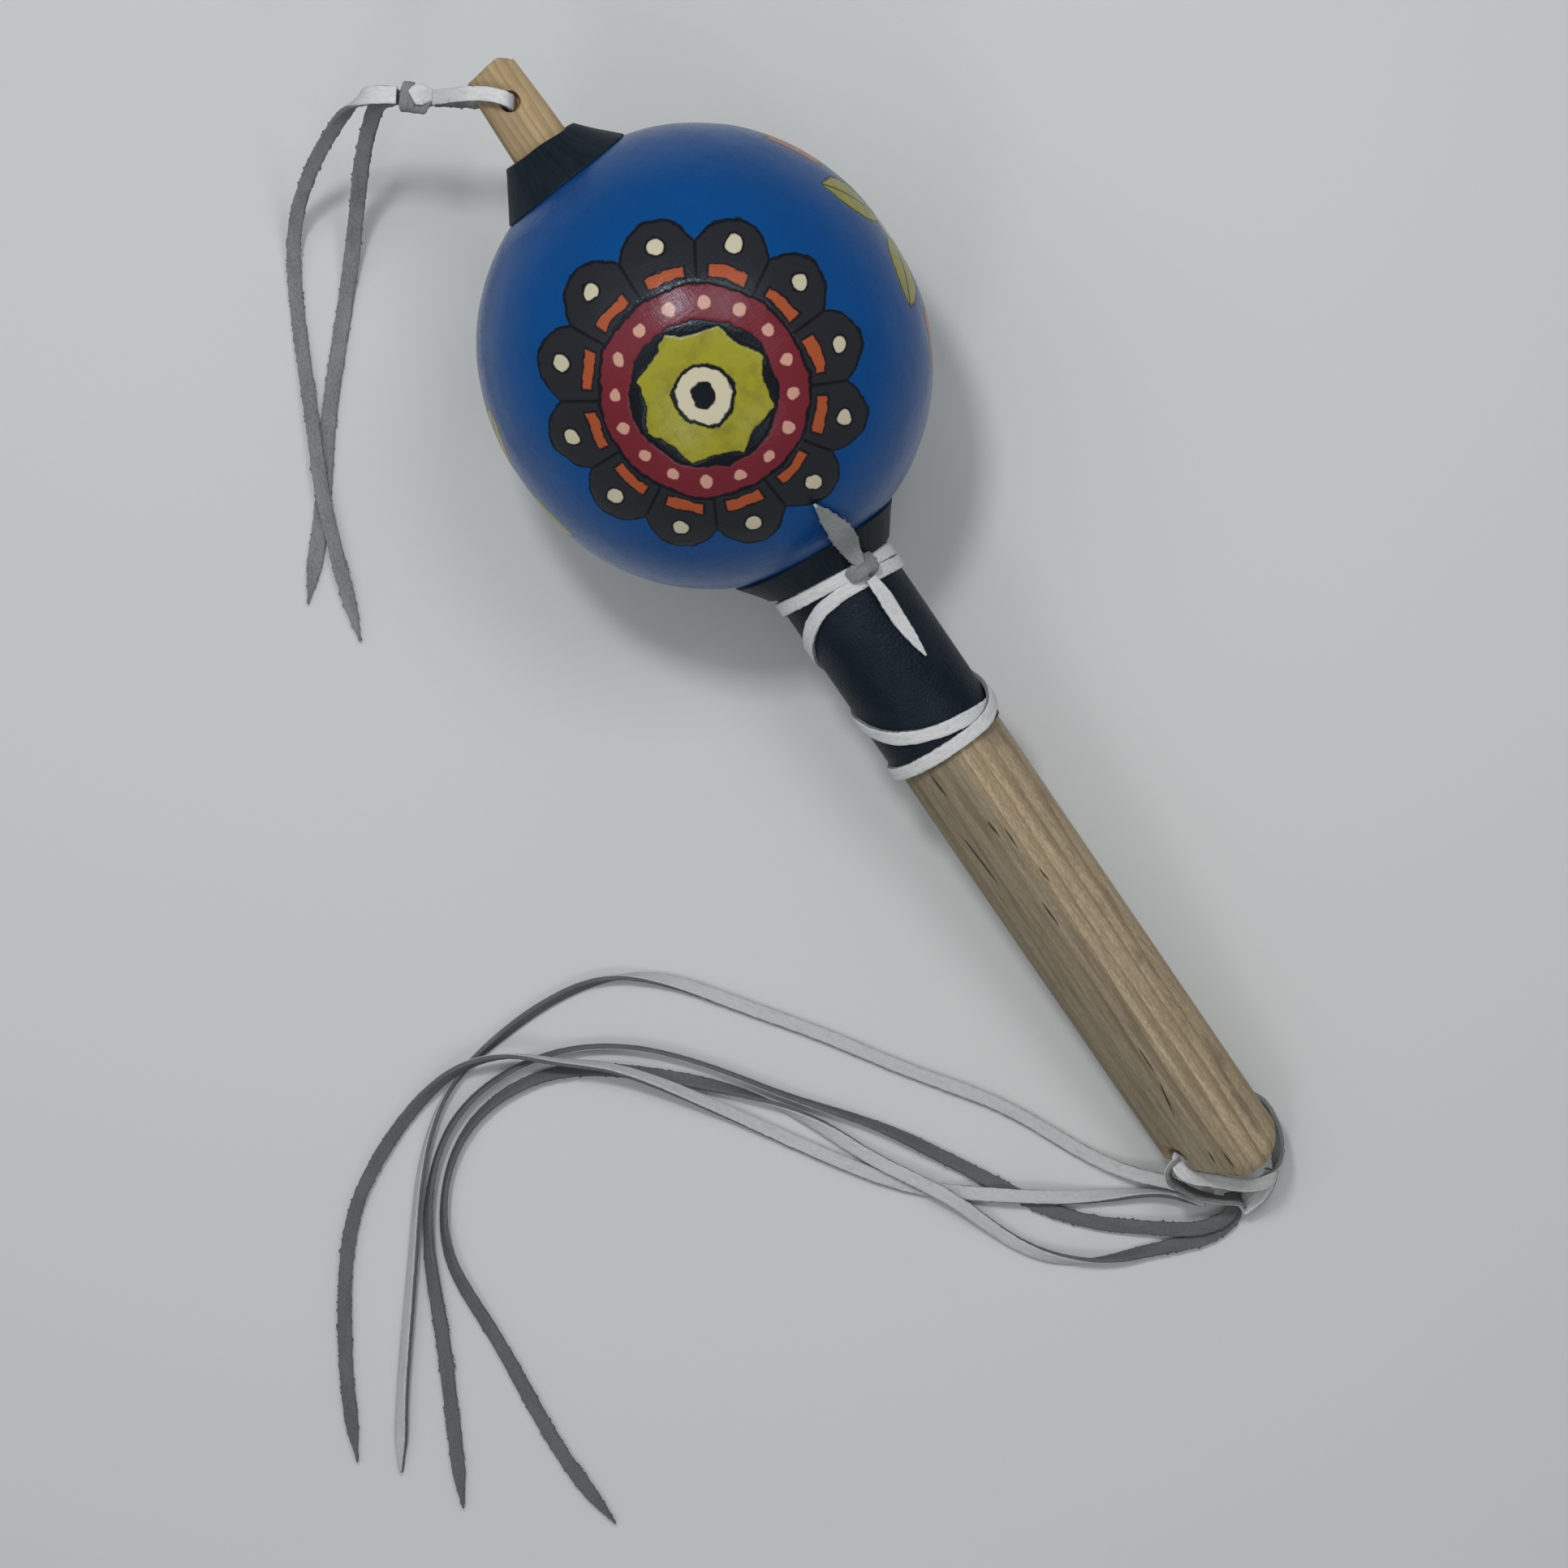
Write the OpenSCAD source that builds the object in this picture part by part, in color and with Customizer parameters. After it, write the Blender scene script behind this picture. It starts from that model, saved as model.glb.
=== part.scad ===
// Dance rattle: a painted gourd on a wooden handle, with leather collars and laces.
// The rattle lies on a table, on the gourd and the butt of the handle. +X points to the tip.

/* [Gourd] */
// Width of the gourd across the handle
gourd_wide = 97.5; // [85:0.5:110]
// How much longer the gourd is along the handle than it is wide
gourd_stretch = 6; // [1:0.5:15]
// Thickness of the dried shell
gourd_wall = 4; // [2:0.5:7]
// How far the handle runs to one side of the gourd's middle
gourd_offset = 3.8; // [0:0.1:6]

/* [Handle] */
// Diameter of the grip
handle_dia = 25.4; // [22:0.1:30]
// Length of the grip from the gourd's neck to the butt
grip_length = 168; // [130:1:220]
// Rounding of the butt's edge
butt_round = 4; // [1:0.5:6]
// Diameter of the spindle that runs through the gourd
spindle_dia = 14.4; // [10:0.1:17]
// Length of the tip that stands out of the gourd's crown
tip_length = 26; // [18:0.5:40]
// Diameter at the tip's whittled end
tip_end_dia = 12.4; // [8:0.1:16]
// Rounding of the tip's edge
tip_round = 0.8; // [0.3:0.1:2]
// Diameter of the cross hole in the tip
tip_hole_dia = 4.6; // [4:0.1:6]
// Distance of the tip's cross hole from the tip's end
tip_hole_inset = 8.2; // [6:0.1:10]
// Diameter of the cross hole near the butt
butt_hole_dia = 5.6; // [4.6:0.1:7]
// Distance of that cross hole from the butt
butt_hole_inset = 9.8; // [7:0.1:16]
// How far that cross hole is turned up on its left side, in degrees
butt_hole_turn = 25; // [0:1:40]
// How far up the left side the butt's whittled slant starts
slant_inset = 10; // [4:0.5:16]
// Angle of the slant to a square cut, in degrees
slant_angle = 40; // [20:1:55]

/* [Leather] */
// Thickness of the two collars
collar_leather = 1.2; // [0.8:0.1:2]
// How far the top collar rises above the gourd's crown
collar_rise = 6.7; // [4:0.1:12]
// Diameter of the top collar where it meets the gourd
collar_foot_dia = 31; // [26:0.5:40]
// How far the neck cuff drops below the gourd's neck
cuff_drop = 3.3; // [2:0.1:8]
// Diameter of the neck cuff where it meets the gourd
cuff_foot_dia = 40; // [36:0.5:50]
// How far the collars' sides are hollowed
collar_hollow = 0.6; // [0.3:0.1:1.8]
// Thickness of the sleeve on the handle
sleeve_leather = 0.8; // [0.5:0.1:1.5]
// Length of the sleeve
sleeve_length = 49.8; // [40:0.2:80]
// Width of the seam left open under the sleeve
seam_gap = 0.4; // [0.2:0.1:2]

/* [Laces] */
// Width of the flat lace
lace_width = 3.2; // [2.4:0.1:3.6]
// Thickness of the flat lace
lace_thick = 1.2; // [0.8:0.1:1.4]
// Space between neighbouring turns of the lacing
turn_gap = 0.6; // [0.5:0.1:1.5]

/* [Seeds] */
// Diameter of the seeds inside the gourd
seed_dia = 5; // [3:0.1:7]
// Number of seeds in each of the three rows
seeds_in_row = 7; // [3:1:9]
// Distance from row to row along the handle
row_pitch = 15; // [8:0.5:18]

/* [Fits] */
// Clearance round the spindle in the gourd's two holes
bore_clear = 0.2; // [0.1:0.05:0.4]
// Clearance between pieces that lie against each other
seat_gap = 0.15; // [0.1:0.05:0.4]
// Clearance of the loose seeds to the shell and to each other
seed_gap = 0.4; // [0.2:0.1:1]

/* [Hidden] */
$fn = 96;
// How far a cutting or joining piece runs past the face it meets
past = 1;

// The gourd is a ball drawn out in the middle: two half balls, ball_s each way from its middle
gourd_ball = gourd_wide / 2;
ball_s = gourd_stretch / 2;
pole = gourd_ball + ball_s;
function drawn_out_r(ball, s) = sqrt(pow(ball, 2) - pow(max(abs(s) - ball_s, 0), 2));

// Stations along the handle, from the gourd's middle, positive to the tip
tip_s = pole + tip_length;
butt_s = -pole - grip_length;
shoulder_s = -pole - seat_gap;
collar_s = pole + collar_rise;
cuff_s = -pole - cuff_drop;
sleeve_top_s = shoulder_s - seat_gap;
sleeve_end_s = sleeve_top_s - sleeve_length;
tip_hole_s = tip_s - tip_hole_inset;
butt_hole_s = butt_s + butt_hole_inset;

// Radii about the handle
handle_r = handle_dia / 2;
spindle_r = spindle_dia / 2;
sleeve_in_r = handle_r + seat_gap / 2;
sleeve_r = sleeve_in_r + sleeve_leather;
lacing_r = sleeve_r + 2 * seat_gap + lace_thick / 2;

// The tilt that lets the gourd and the butt both touch the table
reach = -butt_s - butt_round;
arm = [reach - ball_s, handle_r - butt_round];
tilt = asin((gourd_ball - butt_round) / norm(arm)) - atan2(arm[1], arm[0]);
centre_z = gourd_ball + ball_s * sin(tilt);
tip_x = (tip_s - tip_round) * cos(tilt) + (tip_end_dia / 2 - tip_round) * sin(tilt) + tip_round;
butt_x = reach * cos(tilt) + (handle_r - butt_round) * sin(tilt) + butt_round;
centre_x = (butt_x - tip_x) / 2;

module on_handle() {
  translate([centre_x, gourd_offset, centre_z])
    rotate([0, 90 - tilt, 0])
      children();
}

module on_gourd() {
  translate([0, -gourd_offset, 0])
    children();
}

// A place on the handle: radius, angle from the top towards the left side, station
function around(r, angle, s) = [-r * cos(angle), r * sin(angle), s];

// The gourd's outer form, grown by a margin
module gourd_form(grow = 0) {
  on_gourd() {
    cylinder(r = gourd_ball + grow, h = gourd_stretch, center = true);
    for (side = [-1, 1])
      translate([0, 0, side * ball_s])
        sphere(gourd_ball + grow);
  }
}

// Sections of the lace, as shares of its half width and half thickness
lace_edge_share = 0.8;
SECTION_8 = [[1, 0.5], [lace_edge_share, 1], [-lace_edge_share, 1], [-1, 0.5],
             [-1, -0.5], [-lace_edge_share, -1], [lace_edge_share, -1], [1, -0.5]];
SECTION_6 = [[1, 0], [lace_edge_share, 1], [-lace_edge_share, 1],
             [-1, 0], [-lace_edge_share, -1], [lace_edge_share, -1]];

function unit(v) = v / norm(v);
// A flat vector's angle, from 0 to 360 degrees
function turned(v) = (atan2(v[1], v[0]) + 360) % 360;
function square_to(v, t) = unit(v - (v * t) * t);
function xyz(p) = [p[0], p[1], p[2]];
function heading(p, i) = unit(xyz(p[min(i + 1, len(p) - 1)]) - xyz(p[max(i - 1, 0)]));
// The lace's side directions: level all along, or carried on from ring to ring
level = [0, 0, 1];
function level_sides(p) = [for (i = [0:len(p) - 1]) unit(cross(level, heading(p, i)))];
function carried(p, side, i = 0, sides = []) =
  i == len(p) ? sides
  : let (next = square_to(i == 0 ? side : sides[i - 1], heading(p, i)))
    carried(p, side, i + 1, concat(sides, [next]));

// One ring of the lace: its width turns about the route by the point's fourth value
function lace_ring(p, side, t, share) =
  let (up = cross(t, side), w = side * cos(p[3]) + up * sin(p[3]), h = cross(t, w))
  [for (q = SECTION_8)
    xyz(p) + w * q[0] * share * lace_width / 2 + h * q[1] * lace_thick / 2];

function lace_rings(p, sides, shares) =
  [for (i = [0:len(p) - 1]) lace_ring(p[i], sides[i], heading(p, i), shares[i])];

// A closed tube through rings of equal size
module skin(rings) {
  n = len(rings[0]);
  last = (len(rings) - 1) * n;
  polyhedron(
    points = [for (r = rings) for (q = r) q],
    faces = concat(
      [for (i = [0:len(rings) - 2]) for (j = [0:n - 1])
        [i * n + j, (i + 1) * n + (j + 1) % n, i * n + (j + 1) % n]],
      [for (i = [0:len(rings) - 2]) for (j = [0:n - 1])
        [i * n + j, (i + 1) * n + j, (i + 1) * n + (j + 1) % n]],
      [for (j = [1:n - 2]) [0, j, j + 1]],
      [for (j = [1:n - 2]) [last, last + j + 1, last + j]]));
}

// Shares of the lace's width: full, or drawn to a point at the far end
point_share = 0.15;
near_point_share = 0.75;
function even(p) = [for (q = p) 1];
function pointed(p) =
  [for (i = [0:len(p) - 1]) i == len(p) - 1 ? point_share : i == len(p) - 2 ? near_point_share : 1];

module lace(route, sides, shares) {
  skin(lace_rings(route, sides, shares));
}

// Routes on the table: place from the butt's cross hole, height over the table, and twist;
// from the butt of the handle to the pointed end
STRAND_1 = [[-14.3, 8.6, 6, 0], [-8.8, 12.4, 5.4, 0], [-0.3, 20.2, 2.6, 0], [10.7, 27.2, 0.9, 5],
            [27.7, 35.2, 0.9, 10], [48.7, 49.2, 0.9, 10], [65.7, 60.2, 0.9, 10], [85.7, 74.2, 1, 15],
            [97.7, 83.2, 1.4, 40], [105.7, 93.2, 1.8, 90], [109.7, 108.2, 1.8, 115],
            [109.7, 122.2, 1.8, 110], [106.7, 138.2, 1.8, 90], [95.7, 154.2, 1.8, 70],
            [80.7, 167.2, 1.8, 60], [63.7, 181.2, 1.6, 50], [49.7, 192.2, 1.4, 40],
            [39.7, 199.2, 1, 20]];
STRAND_2 = [[-18.3, 5.2, 2.9, 180], [-21.3, 6.2, 2.4, 180], [-20.3, 11.2, 2.4, 180],
            [-14.3, 22.2, 1.8, 178], [-4.3, 34.2, 0.9, 176], [5.7, 42.2, 0.9, 176],
            [14.7, 47.2, 0.9, 185], [29.7, 55.2, 1.5, 215], [41.7, 62.2, 1.7, 240],
            [60.7, 76.2, 1.8, 265], [71.7, 83.7, 1.8, 270], [81.7, 91.2, 1.8, 270],
            [91.7, 101.2, 1.8, 270], [98.7, 113.2, 1.8, 265], [101.7, 126.2, 1.8, 260],
            [99.7, 142.2, 1.8, 255], [91.7, 154.2, 1.8, 250], [78.7, 164.2, 1.8, 225],
            [62.7, 172.2, 1.3, 195], [41.7, 183.2, 0.9, 188], [24.7, 192.2, 0.9, 180]];
STRAND_3 = [[-14.3, 10.2, 4.7, 0], [-10.3, 14.2, 3.4, 60], [-6.3, 19.2, 2, 75], [-0.8, 28.2, 1.5, 45],
            [5.7, 38.2, 2.5, 15], [11.7, 46.2, 3, 5], [18.7, 55.2, 1.7, 5], [26.7, 64.2, 0.9, 10],
            [38.7, 73.2, 1, 15], [55.7, 83.7, 1.2, 20], [70.7, 92.7, 3, 35], [81.7, 99.7, 4.9, 50],
            [90.7, 107.2, 5.6, 65], [97.7, 115.2, 5.8, 75], [104.7, 123.2, 5.8, 85],
            [108.7, 133.2, 5, 95], [107.7, 147.2, 2.2, 105], [103.7, 159.2, 1.8, 115],
            [94.7, 175.2, 1.8, 130], [79.7, 191.2, 1.4, 150], [62.7, 202.2, 1, 165],
            [47.7, 206.2, 0.9, 175]];
STRAND_4 = [[-18.3, 5.2, 1, 180], [-23.3, 6.2, 0.9, 180], [-23.3, 12.2, 0.9, 185],
            [-19.3, 24.2, 1.1, 205], [-12.3, 39.2, 1.8, 270], [-2.3, 49.2, 1.5, 325],
            [7.7, 54.2, 1.6, 345], [17.7, 57.7, 3.2, 358], [26.7, 62.2, 3, 360],
            [37.7, 68.2, 1.7, 350], [49.2, 73.2, 1.6, 330], [62.2, 80.7, 1.8, 270],
            [74.7, 91.2, 1.4, 215], [85.7, 102.7, 1.2, 205], [93.7, 113.7, 1.4, 215],
            [97.7, 126.2, 1.6, 230], [95.7, 142.2, 1.8, 245], [86.7, 154.2, 1.8, 250],
            [74.7, 161.2, 1.7, 230], [56.7, 163.2, 1.2, 200], [34.7, 165.2, 0.9, 190],
            [17.7, 166.2, 0.9, 185], [1.7, 165.2, 0.9, 180]];

// Routes at the tip, from its cross hole: the loop through it, and the two tails that hang to
// the table, with their heights over it
HANG_LOOP = [[10.5, 12.8, -2.5, 0], [8, 9.9, 2.6, 0], [4.8, 5.9, 7, 0], [2, 2.6, 8.2, 0],
             [-0.4, 0.6, 8, 0], [-1.2, 0, 5.6, 0], [0, 0, -0.4, 0], [1.1, 0, -5.8, 0],
             [2, 0.8, -7.6, 0], [4, 3.2, -7.8, 0], [7.4, 8.2, -6.2, 0], [10.5, 12.8, -4.3, 0]];
HANG_TAIL_1 = [[15.7, 19.2, 57.8, 0], [19, 23.6, 56.8, 0], [21, 27.2, 51, 60], [21.4, 37.2, 33, 150],
               [18, 49.2, 14, 180], [12, 57.2, 3.6, 180], [-4, 67.2, 0.9, 180], [-24, 77.2, 2.4, 180],
               [-39, 84.7, 2.6, 180], [-54, 90.7, 2.1, 180], [-72, 97.2, 0.9, 180]];
HANG_TAIL_2 = [[15.7, 19.2, 56.1, 180], [17.4, 22.2, 52.5, 180], [17.4, 26.2, 44, 180],
               [15.4, 31.2, 32, 180], [8, 41.2, 12, 180], [-1.5, 51.2, 2.2, 180],
               [-14, 63.2, 0.9, 180], [-26, 74.2, 0.9, 180], [-42, 87.2, 0.9, 180],
               [-58, 102.2, 0.9, 180]];
HANG_KNOT = [13.1, 16, -3.4];
hang_knot_r = 2.6;
hang_knot_spread = 1.4;
hang_heading = [0.63, 0.77, 0];
hang_side = [-0.77, 0.63, 0];

// Routes at the butt, from its cross hole: the lace from the right mouth round the end, and the
// curl at the left mouth
HITCH_BAND = [[0.5, -5.4, -2.5, 0], [0.9, -13.2, -6.1, 0], [-2.3, -15, -6.3, 0],
              [-9.8, -13.4, -5.3, 0], [-15.1, -9.4, -4.3, 0], [-17.9, -4.8, -3.1, -30],
              [-16.5, -0.4, -1.5, -70], [-12.3, 4.4, 0.9, -85], [-8.3, 8.2, 3.3, -85],
              [-4.9, 11, 5.3, -80]];
HITCH_CURL = [[-0.8, 10.4, 4.8, 90], [-1.5, 13.4, 5.2, 90], [-3.9, 14.8, 3.3, 90],
              [-7.2, 14, -0.3, 90], [-10.7, 12.4, -3.3, 90], [-13.9, 9.8, -4.9, 90],
              [-16.5, 6.8, -5.3, 90], [-18.3, 4, -5.5, 90]];

// The routes' places: their points are chosen for these radii and this height of the tip's hole
spindle_fit = 7.2;
butt_fit = 12.7;
fall_fit = 60.4;
function on_axis(s) = [centre_x + s * cos(tilt), gourd_offset, centre_z + s * sin(tilt)];
tip_hole_at = on_axis(tip_hole_s);
butt_hole_at = on_axis(butt_hole_s);
function tied(at, q, size) = concat(at + xyz(q) * size, q[3]);
function at_tip(p) = [for (q = p) tied(tip_hole_at, q, spindle_r / spindle_fit)];
function at_butt(p) = [for (q = p) tied(butt_hole_at, q, handle_r / butt_fit)];
function fallen(p) = [for (q = p)
  [tip_hole_at[0] + q[0], tip_hole_at[1] + q[1], q[2] * tip_hole_at[2] / fall_fit, q[3]]];
function laid(p) = [for (q = p) [butt_hole_at[0] + q[0], butt_hole_at[1] + q[1], q[2], q[3]]];

// Winding of the sleeve's lacing: angle about the handle against turns below the cuff
// or, lower down, above the sleeve's hem
turn_pitch = lace_width + turn_gap;
neck_turn_s = cuff_s - lace_width / 2 - seat_gap;
hem_turn_s = sleeve_end_s + lace_width / 2;
NECK_TURNS = [[-540, 0.1], [-450, 0.35], [-360, 0.1], [-315, 0], [-270, 0.05], [-180, 1.15],
              [-90, 1.35], [-30, 1.2], [25, 1.05], [40, 1.3], [64, 2.1], [90, 2.9]];
HEM_TURNS = [[275, 2.5], [300, 0.9], [320, 0.1], [335, 0], [540, 0.1], [630, 0.6],
             [660, 0.9], [690, 1.1], [744, 1.6], [791, 3.2], [855, 4.4]];
LIFT = [[262, 0], [284, 1], [328, 1], [350, 0]];
WINDING = concat([for (w = NECK_TURNS) [w[0], neck_turn_s - w[1] * turn_pitch]],
                 [for (w = HEM_TURNS) [w[0], hem_turn_s + w[1] * turn_pitch]]);
rings_a_turn = 24;
turn_step = 360 / rings_a_turn;
lift_height = lace_thick + 2 * seat_gap;

function wound(angle) =
  around(lacing_r + lift_height * lookup(angle, LIFT), angle, lookup(angle, WINDING));
function outward(angle) = around(1, angle, 0);
function wound_ring(angle) =
  let (t = unit(wound(angle + 1) - wound(angle - 1)),
       h = square_to(outward(angle), t), w = cross(h, t))
  [for (q = SECTION_6) wound(angle) + w * q[0] * lace_width / 2 + h * q[1] * lace_thick / 2];
WOUND_RINGS = [for (angle = [WINDING[0][0] : turn_step : WINDING[len(WINDING) - 1][0]])
               wound_ring(angle)];

// Least distance between the points of turns that lie over one another
lacing_gap = min([for (i = [0 : len(WOUND_RINGS) - 1])
                  for (j = [i + rings_a_turn - 1 : 1 : min(i + 2 * rings_a_turn + 1, len(WOUND_RINGS) - 1)])
                  for (a = WOUND_RINGS[i]) for (b = WOUND_RINGS[j]) norm(a - b)]);
echo(str("sleeve_lacing: least gap to itself ", lacing_gap, " mm"));

// The lacing's knot and its two free tails, as radius, angle and station
knot_r = 1.6;
knot_spread = 2.2;
knot_at = [lacing_r + lace_thick / 2 + 2 * seat_gap + knot_r, -19, neck_turn_s];
function on_knot(r, angle, s) = concat(around(knot_at[0] + r, angle, knot_at[2] + s), [0]);
// A place over the gourd, at a rise above its surface and a station above the knot's
function over_gourd(rise, angle, s) =
  on_knot(drawn_out_r(gourd_ball, knot_at[2] + s) + rise - knot_at[0], angle, s);
TAIL_UP = [on_knot(0.6, -19.5, 2), on_knot(3.2, -16.5, 6), over_gourd(4.2, -12, 10.4),
           over_gourd(2.2, -8.5, 15.2), over_gourd(2.4, -5.5, 20.6)];
TAIL_UP_SHARES = [0.6, 1.2, 1.4, 1.1, point_share];
TAIL_DOWN = [on_knot(-0.1, -21, -2), on_knot(-0.5, -22.5, -6.5), on_knot(-1.7, -24, -11.5),
             on_knot(-2.2, -25.5, -17.5), on_knot(-2.3, -27, -23.5)];
TAIL_DOWN_SHARES = [0.7, 1, 1.05, 0.8, point_share];

// The collars' sides run in steps, past the gourd's surface by foot_turn degrees, where it trims
// them; collar_slope_share is the share by which a slanting side is thicker, measured square to the handle
collar_steps = 4;
foot_turn = 14;
collar_slope_share = 1.1;

// Seeds lie low in the gourd, against its inner wall
function row_r(s) = drawn_out_r(gourd_ball - gourd_wall - seed_dia / 2 - seed_gap, s);
seed_pitch_deg = 2 * asin((seed_dia + seed_gap) / 2 / row_r(row_pitch));

module handle() {
  color("#b79a68")
    on_handle()
      difference() {
        rotate_extrude()
          union() {
            translate([0, butt_s + butt_round])
              square([handle_r, shoulder_s - butt_s - butt_round]);
            translate([0, butt_s])
              square([handle_r - butt_round, 2 * butt_round]);
            translate([handle_r - butt_round, butt_s + butt_round])
              circle(butt_round);
            polygon([[0, shoulder_s - past], [spindle_r, shoulder_s - past], [spindle_r, collar_s],
                     [tip_end_dia / 2, tip_s - tip_round], [tip_end_dia / 2 - tip_round, tip_s], [0, tip_s]]);
          }
        translate([0, 0, tip_hole_s])
          rotate([0, 90, 0])
            cylinder(d = tip_hole_dia, h = 2 * spindle_dia, center = true);
        translate([0, 0, butt_hole_s])
          rotate([-90, 0, butt_hole_turn])
            cylinder(d = butt_hole_dia, h = 2 * handle_dia, center = true);
        butt_slant();
      }
}

// What the whittled slant takes off the butt's left side
module butt_slant() {
  block = 2 * handle_dia;
  translate([-block / 2, handle_r, butt_s + slant_inset])
    rotate([slant_angle, 0, 0])
      translate([0, -block, -block])
        cube([block, 2 * block, block]);
}

module gourd_shell() {
  color("#1c63b4")
    on_handle()
      difference() {
        gourd_form();
        gourd_form(-gourd_wall);
        cylinder(r = spindle_r + bore_clear, h = 4 * pole, center = true);
      }
}

// A hollow-sided collar that spreads from a small ring on the stick, at the station small_s, to its
// foot on the gourd; both radii are outer ones. It points at the middle of the gourd's half ball
// there, and its places along that line are measured from that middle
module flared_collar(small_r, small_s, foot_r) {
  small_at = norm([gourd_offset, small_s - ball_s]);
  foot_at = sqrt(pow(gourd_ball, 2) - pow(foot_r, 2));
  run = [foot_r - small_r, foot_at - small_at];
  arc = pow(norm(run), 2) / (8 * collar_hollow) + collar_hollow / 2;
  middle = [small_r + foot_r, small_at + foot_at] / 2 + unit([-run[1], run[0]]) * (arc - collar_hollow);
  first = turned([small_r, small_at] - middle);
  last = turned([foot_r, foot_at] - middle) + foot_turn;
  angles = [for (i = [0:collar_steps]) first + (last - first) * i / collar_steps];
  translate([0, -gourd_offset, ball_s])
    rotate([-atan2(gourd_offset, small_s - ball_s), 0, 0])
      difference() {
        rotate_extrude()
          polygon(concat(
            [for (i = [0:collar_steps]) middle + arc * [cos(angles[i]), sin(angles[i])]],
            [for (i = [collar_steps:-1:0])
              middle + (arc + collar_leather) * [cos(angles[i]), sin(angles[i])]]));
        sphere(gourd_ball + seat_gap);
      }
}

module top_collar() {
  color("#17191d")
    on_handle()
      flared_collar(spindle_r + seat_gap + collar_slope_share * collar_leather, collar_s,
                    collar_foot_dia / 2);
}

module neck_cuff() {
  color("#17191d")
    on_handle()
      mirror([0, 0, 1])
        flared_collar(sleeve_r + seat_gap + collar_slope_share * collar_leather, -cuff_s, cuff_foot_dia / 2);
}

module handle_sleeve() {
  color("#1b1c20")
    on_handle()
      translate([0, 0, sleeve_end_s])
        difference() {
          cylinder(r = sleeve_r, h = sleeve_length);
          translate([0, 0, -past])
            cylinder(r = sleeve_in_r, h = sleeve_length + 2 * past);
          translate([0, -seam_gap / 2, -past])
            cube([handle_dia, seam_gap, sleeve_length + 2 * past]);
        }
}

module sleeve_lacing() {
  color("#e9eaec")
    on_handle()
      skin(WOUND_RINGS);
}

// A small lump of tied lace, spread along one direction and a little smaller at its two ends
knot_end_share = 0.85;
module knot(r, spread) {
  hull()
    for (along = [-1, 0, 1])
      translate(spread * along)
        sphere(r * (along == 0 ? 1 : knot_end_share), $fn = 16);
}

module lacing_knot() {
  color("#a9abab")
    on_handle()
      translate(around(knot_at[0], knot_at[1], knot_at[2]))
        knot(knot_r, knot_spread * [sin(knot_at[1]), cos(knot_at[1]), 0]);
}

module lacing_tail_up() {
  color("#a9abab")
    on_handle()
      lace(TAIL_UP, carried(TAIL_UP, [0, 1, 0]), TAIL_UP_SHARES);
}

module lacing_tail_down() {
  color("#e9eaec")
    on_handle()
      lace(TAIL_DOWN, carried(TAIL_DOWN, [0, 1, 0]), TAIL_DOWN_SHARES);
}

module hitch_band() {
  color("#e9eaec")
    lace(at_butt(HITCH_BAND), carried(HITCH_BAND, level), even(HITCH_BAND));
}

module hitch_curl() {
  color("#e9eaec")
    lace(at_butt(HITCH_CURL), level_sides(HITCH_CURL), even(HITCH_CURL));
}

module hang_loop() {
  color("#e9eaec")
    lace(at_tip(HANG_LOOP), carried(HANG_LOOP, hang_side), even(HANG_LOOP));
}

module hang_knot() {
  color("#e9eaec")
    translate(xyz(at_tip([HANG_KNOT])[0]))
      knot(hang_knot_r, hang_knot_spread * hang_heading);
}

module hang_tail(route) {
  color("#9fa1a1")
    lace(route, level_sides(route), pointed(route));
}

module fringe_strand(route) {
  color("#e9eaec")
    lace(route, level_sides(route), pointed(route));
}

// One row of seeds at a station along the gourd
module seed_row(s) {
  color("#c9a24a")
    on_handle()
      on_gourd()
        for (i = [0:seeds_in_row - 1])
          rotate([0, 0, (i - (seeds_in_row - 1) / 2) * seed_pitch_deg])
            translate([row_r(s), 0, s])
              sphere(d = seed_dia);
}

handle();
gourd_shell();
top_collar();
neck_cuff();
handle_sleeve();
sleeve_lacing();
lacing_knot();
lacing_tail_up();
lacing_tail_down();
hitch_band();
hitch_curl();
hang_loop();
hang_knot();
hang_tail(fallen(HANG_TAIL_1));  // hang_tail_1
hang_tail(fallen(HANG_TAIL_2));  // hang_tail_2
fringe_strand(laid(STRAND_1));  // fringe_strand_1
fringe_strand(laid(STRAND_2));  // fringe_strand_2
fringe_strand(laid(STRAND_3));  // fringe_strand_3
fringe_strand(laid(STRAND_4));  // fringe_strand_4
seed_row(row_pitch);  // seeds_front
seed_row(0);  // seeds_middle
seed_row(-row_pitch);  // seeds_rear
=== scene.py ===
# %% [markdown]
# A dance rattle lies on a pale table: a painted gourd on a wooden handle, with black leather
# at both ends of the gourd and flat white laces tied through the handle.
# The solid parts come from CAD, with their true sizes and places. This script gives them their looks:
# each step builds one piece as whole arrays of numbers and says why it is built that way.

import bpy
import numpy as np
from mathutils import Matrix


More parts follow.
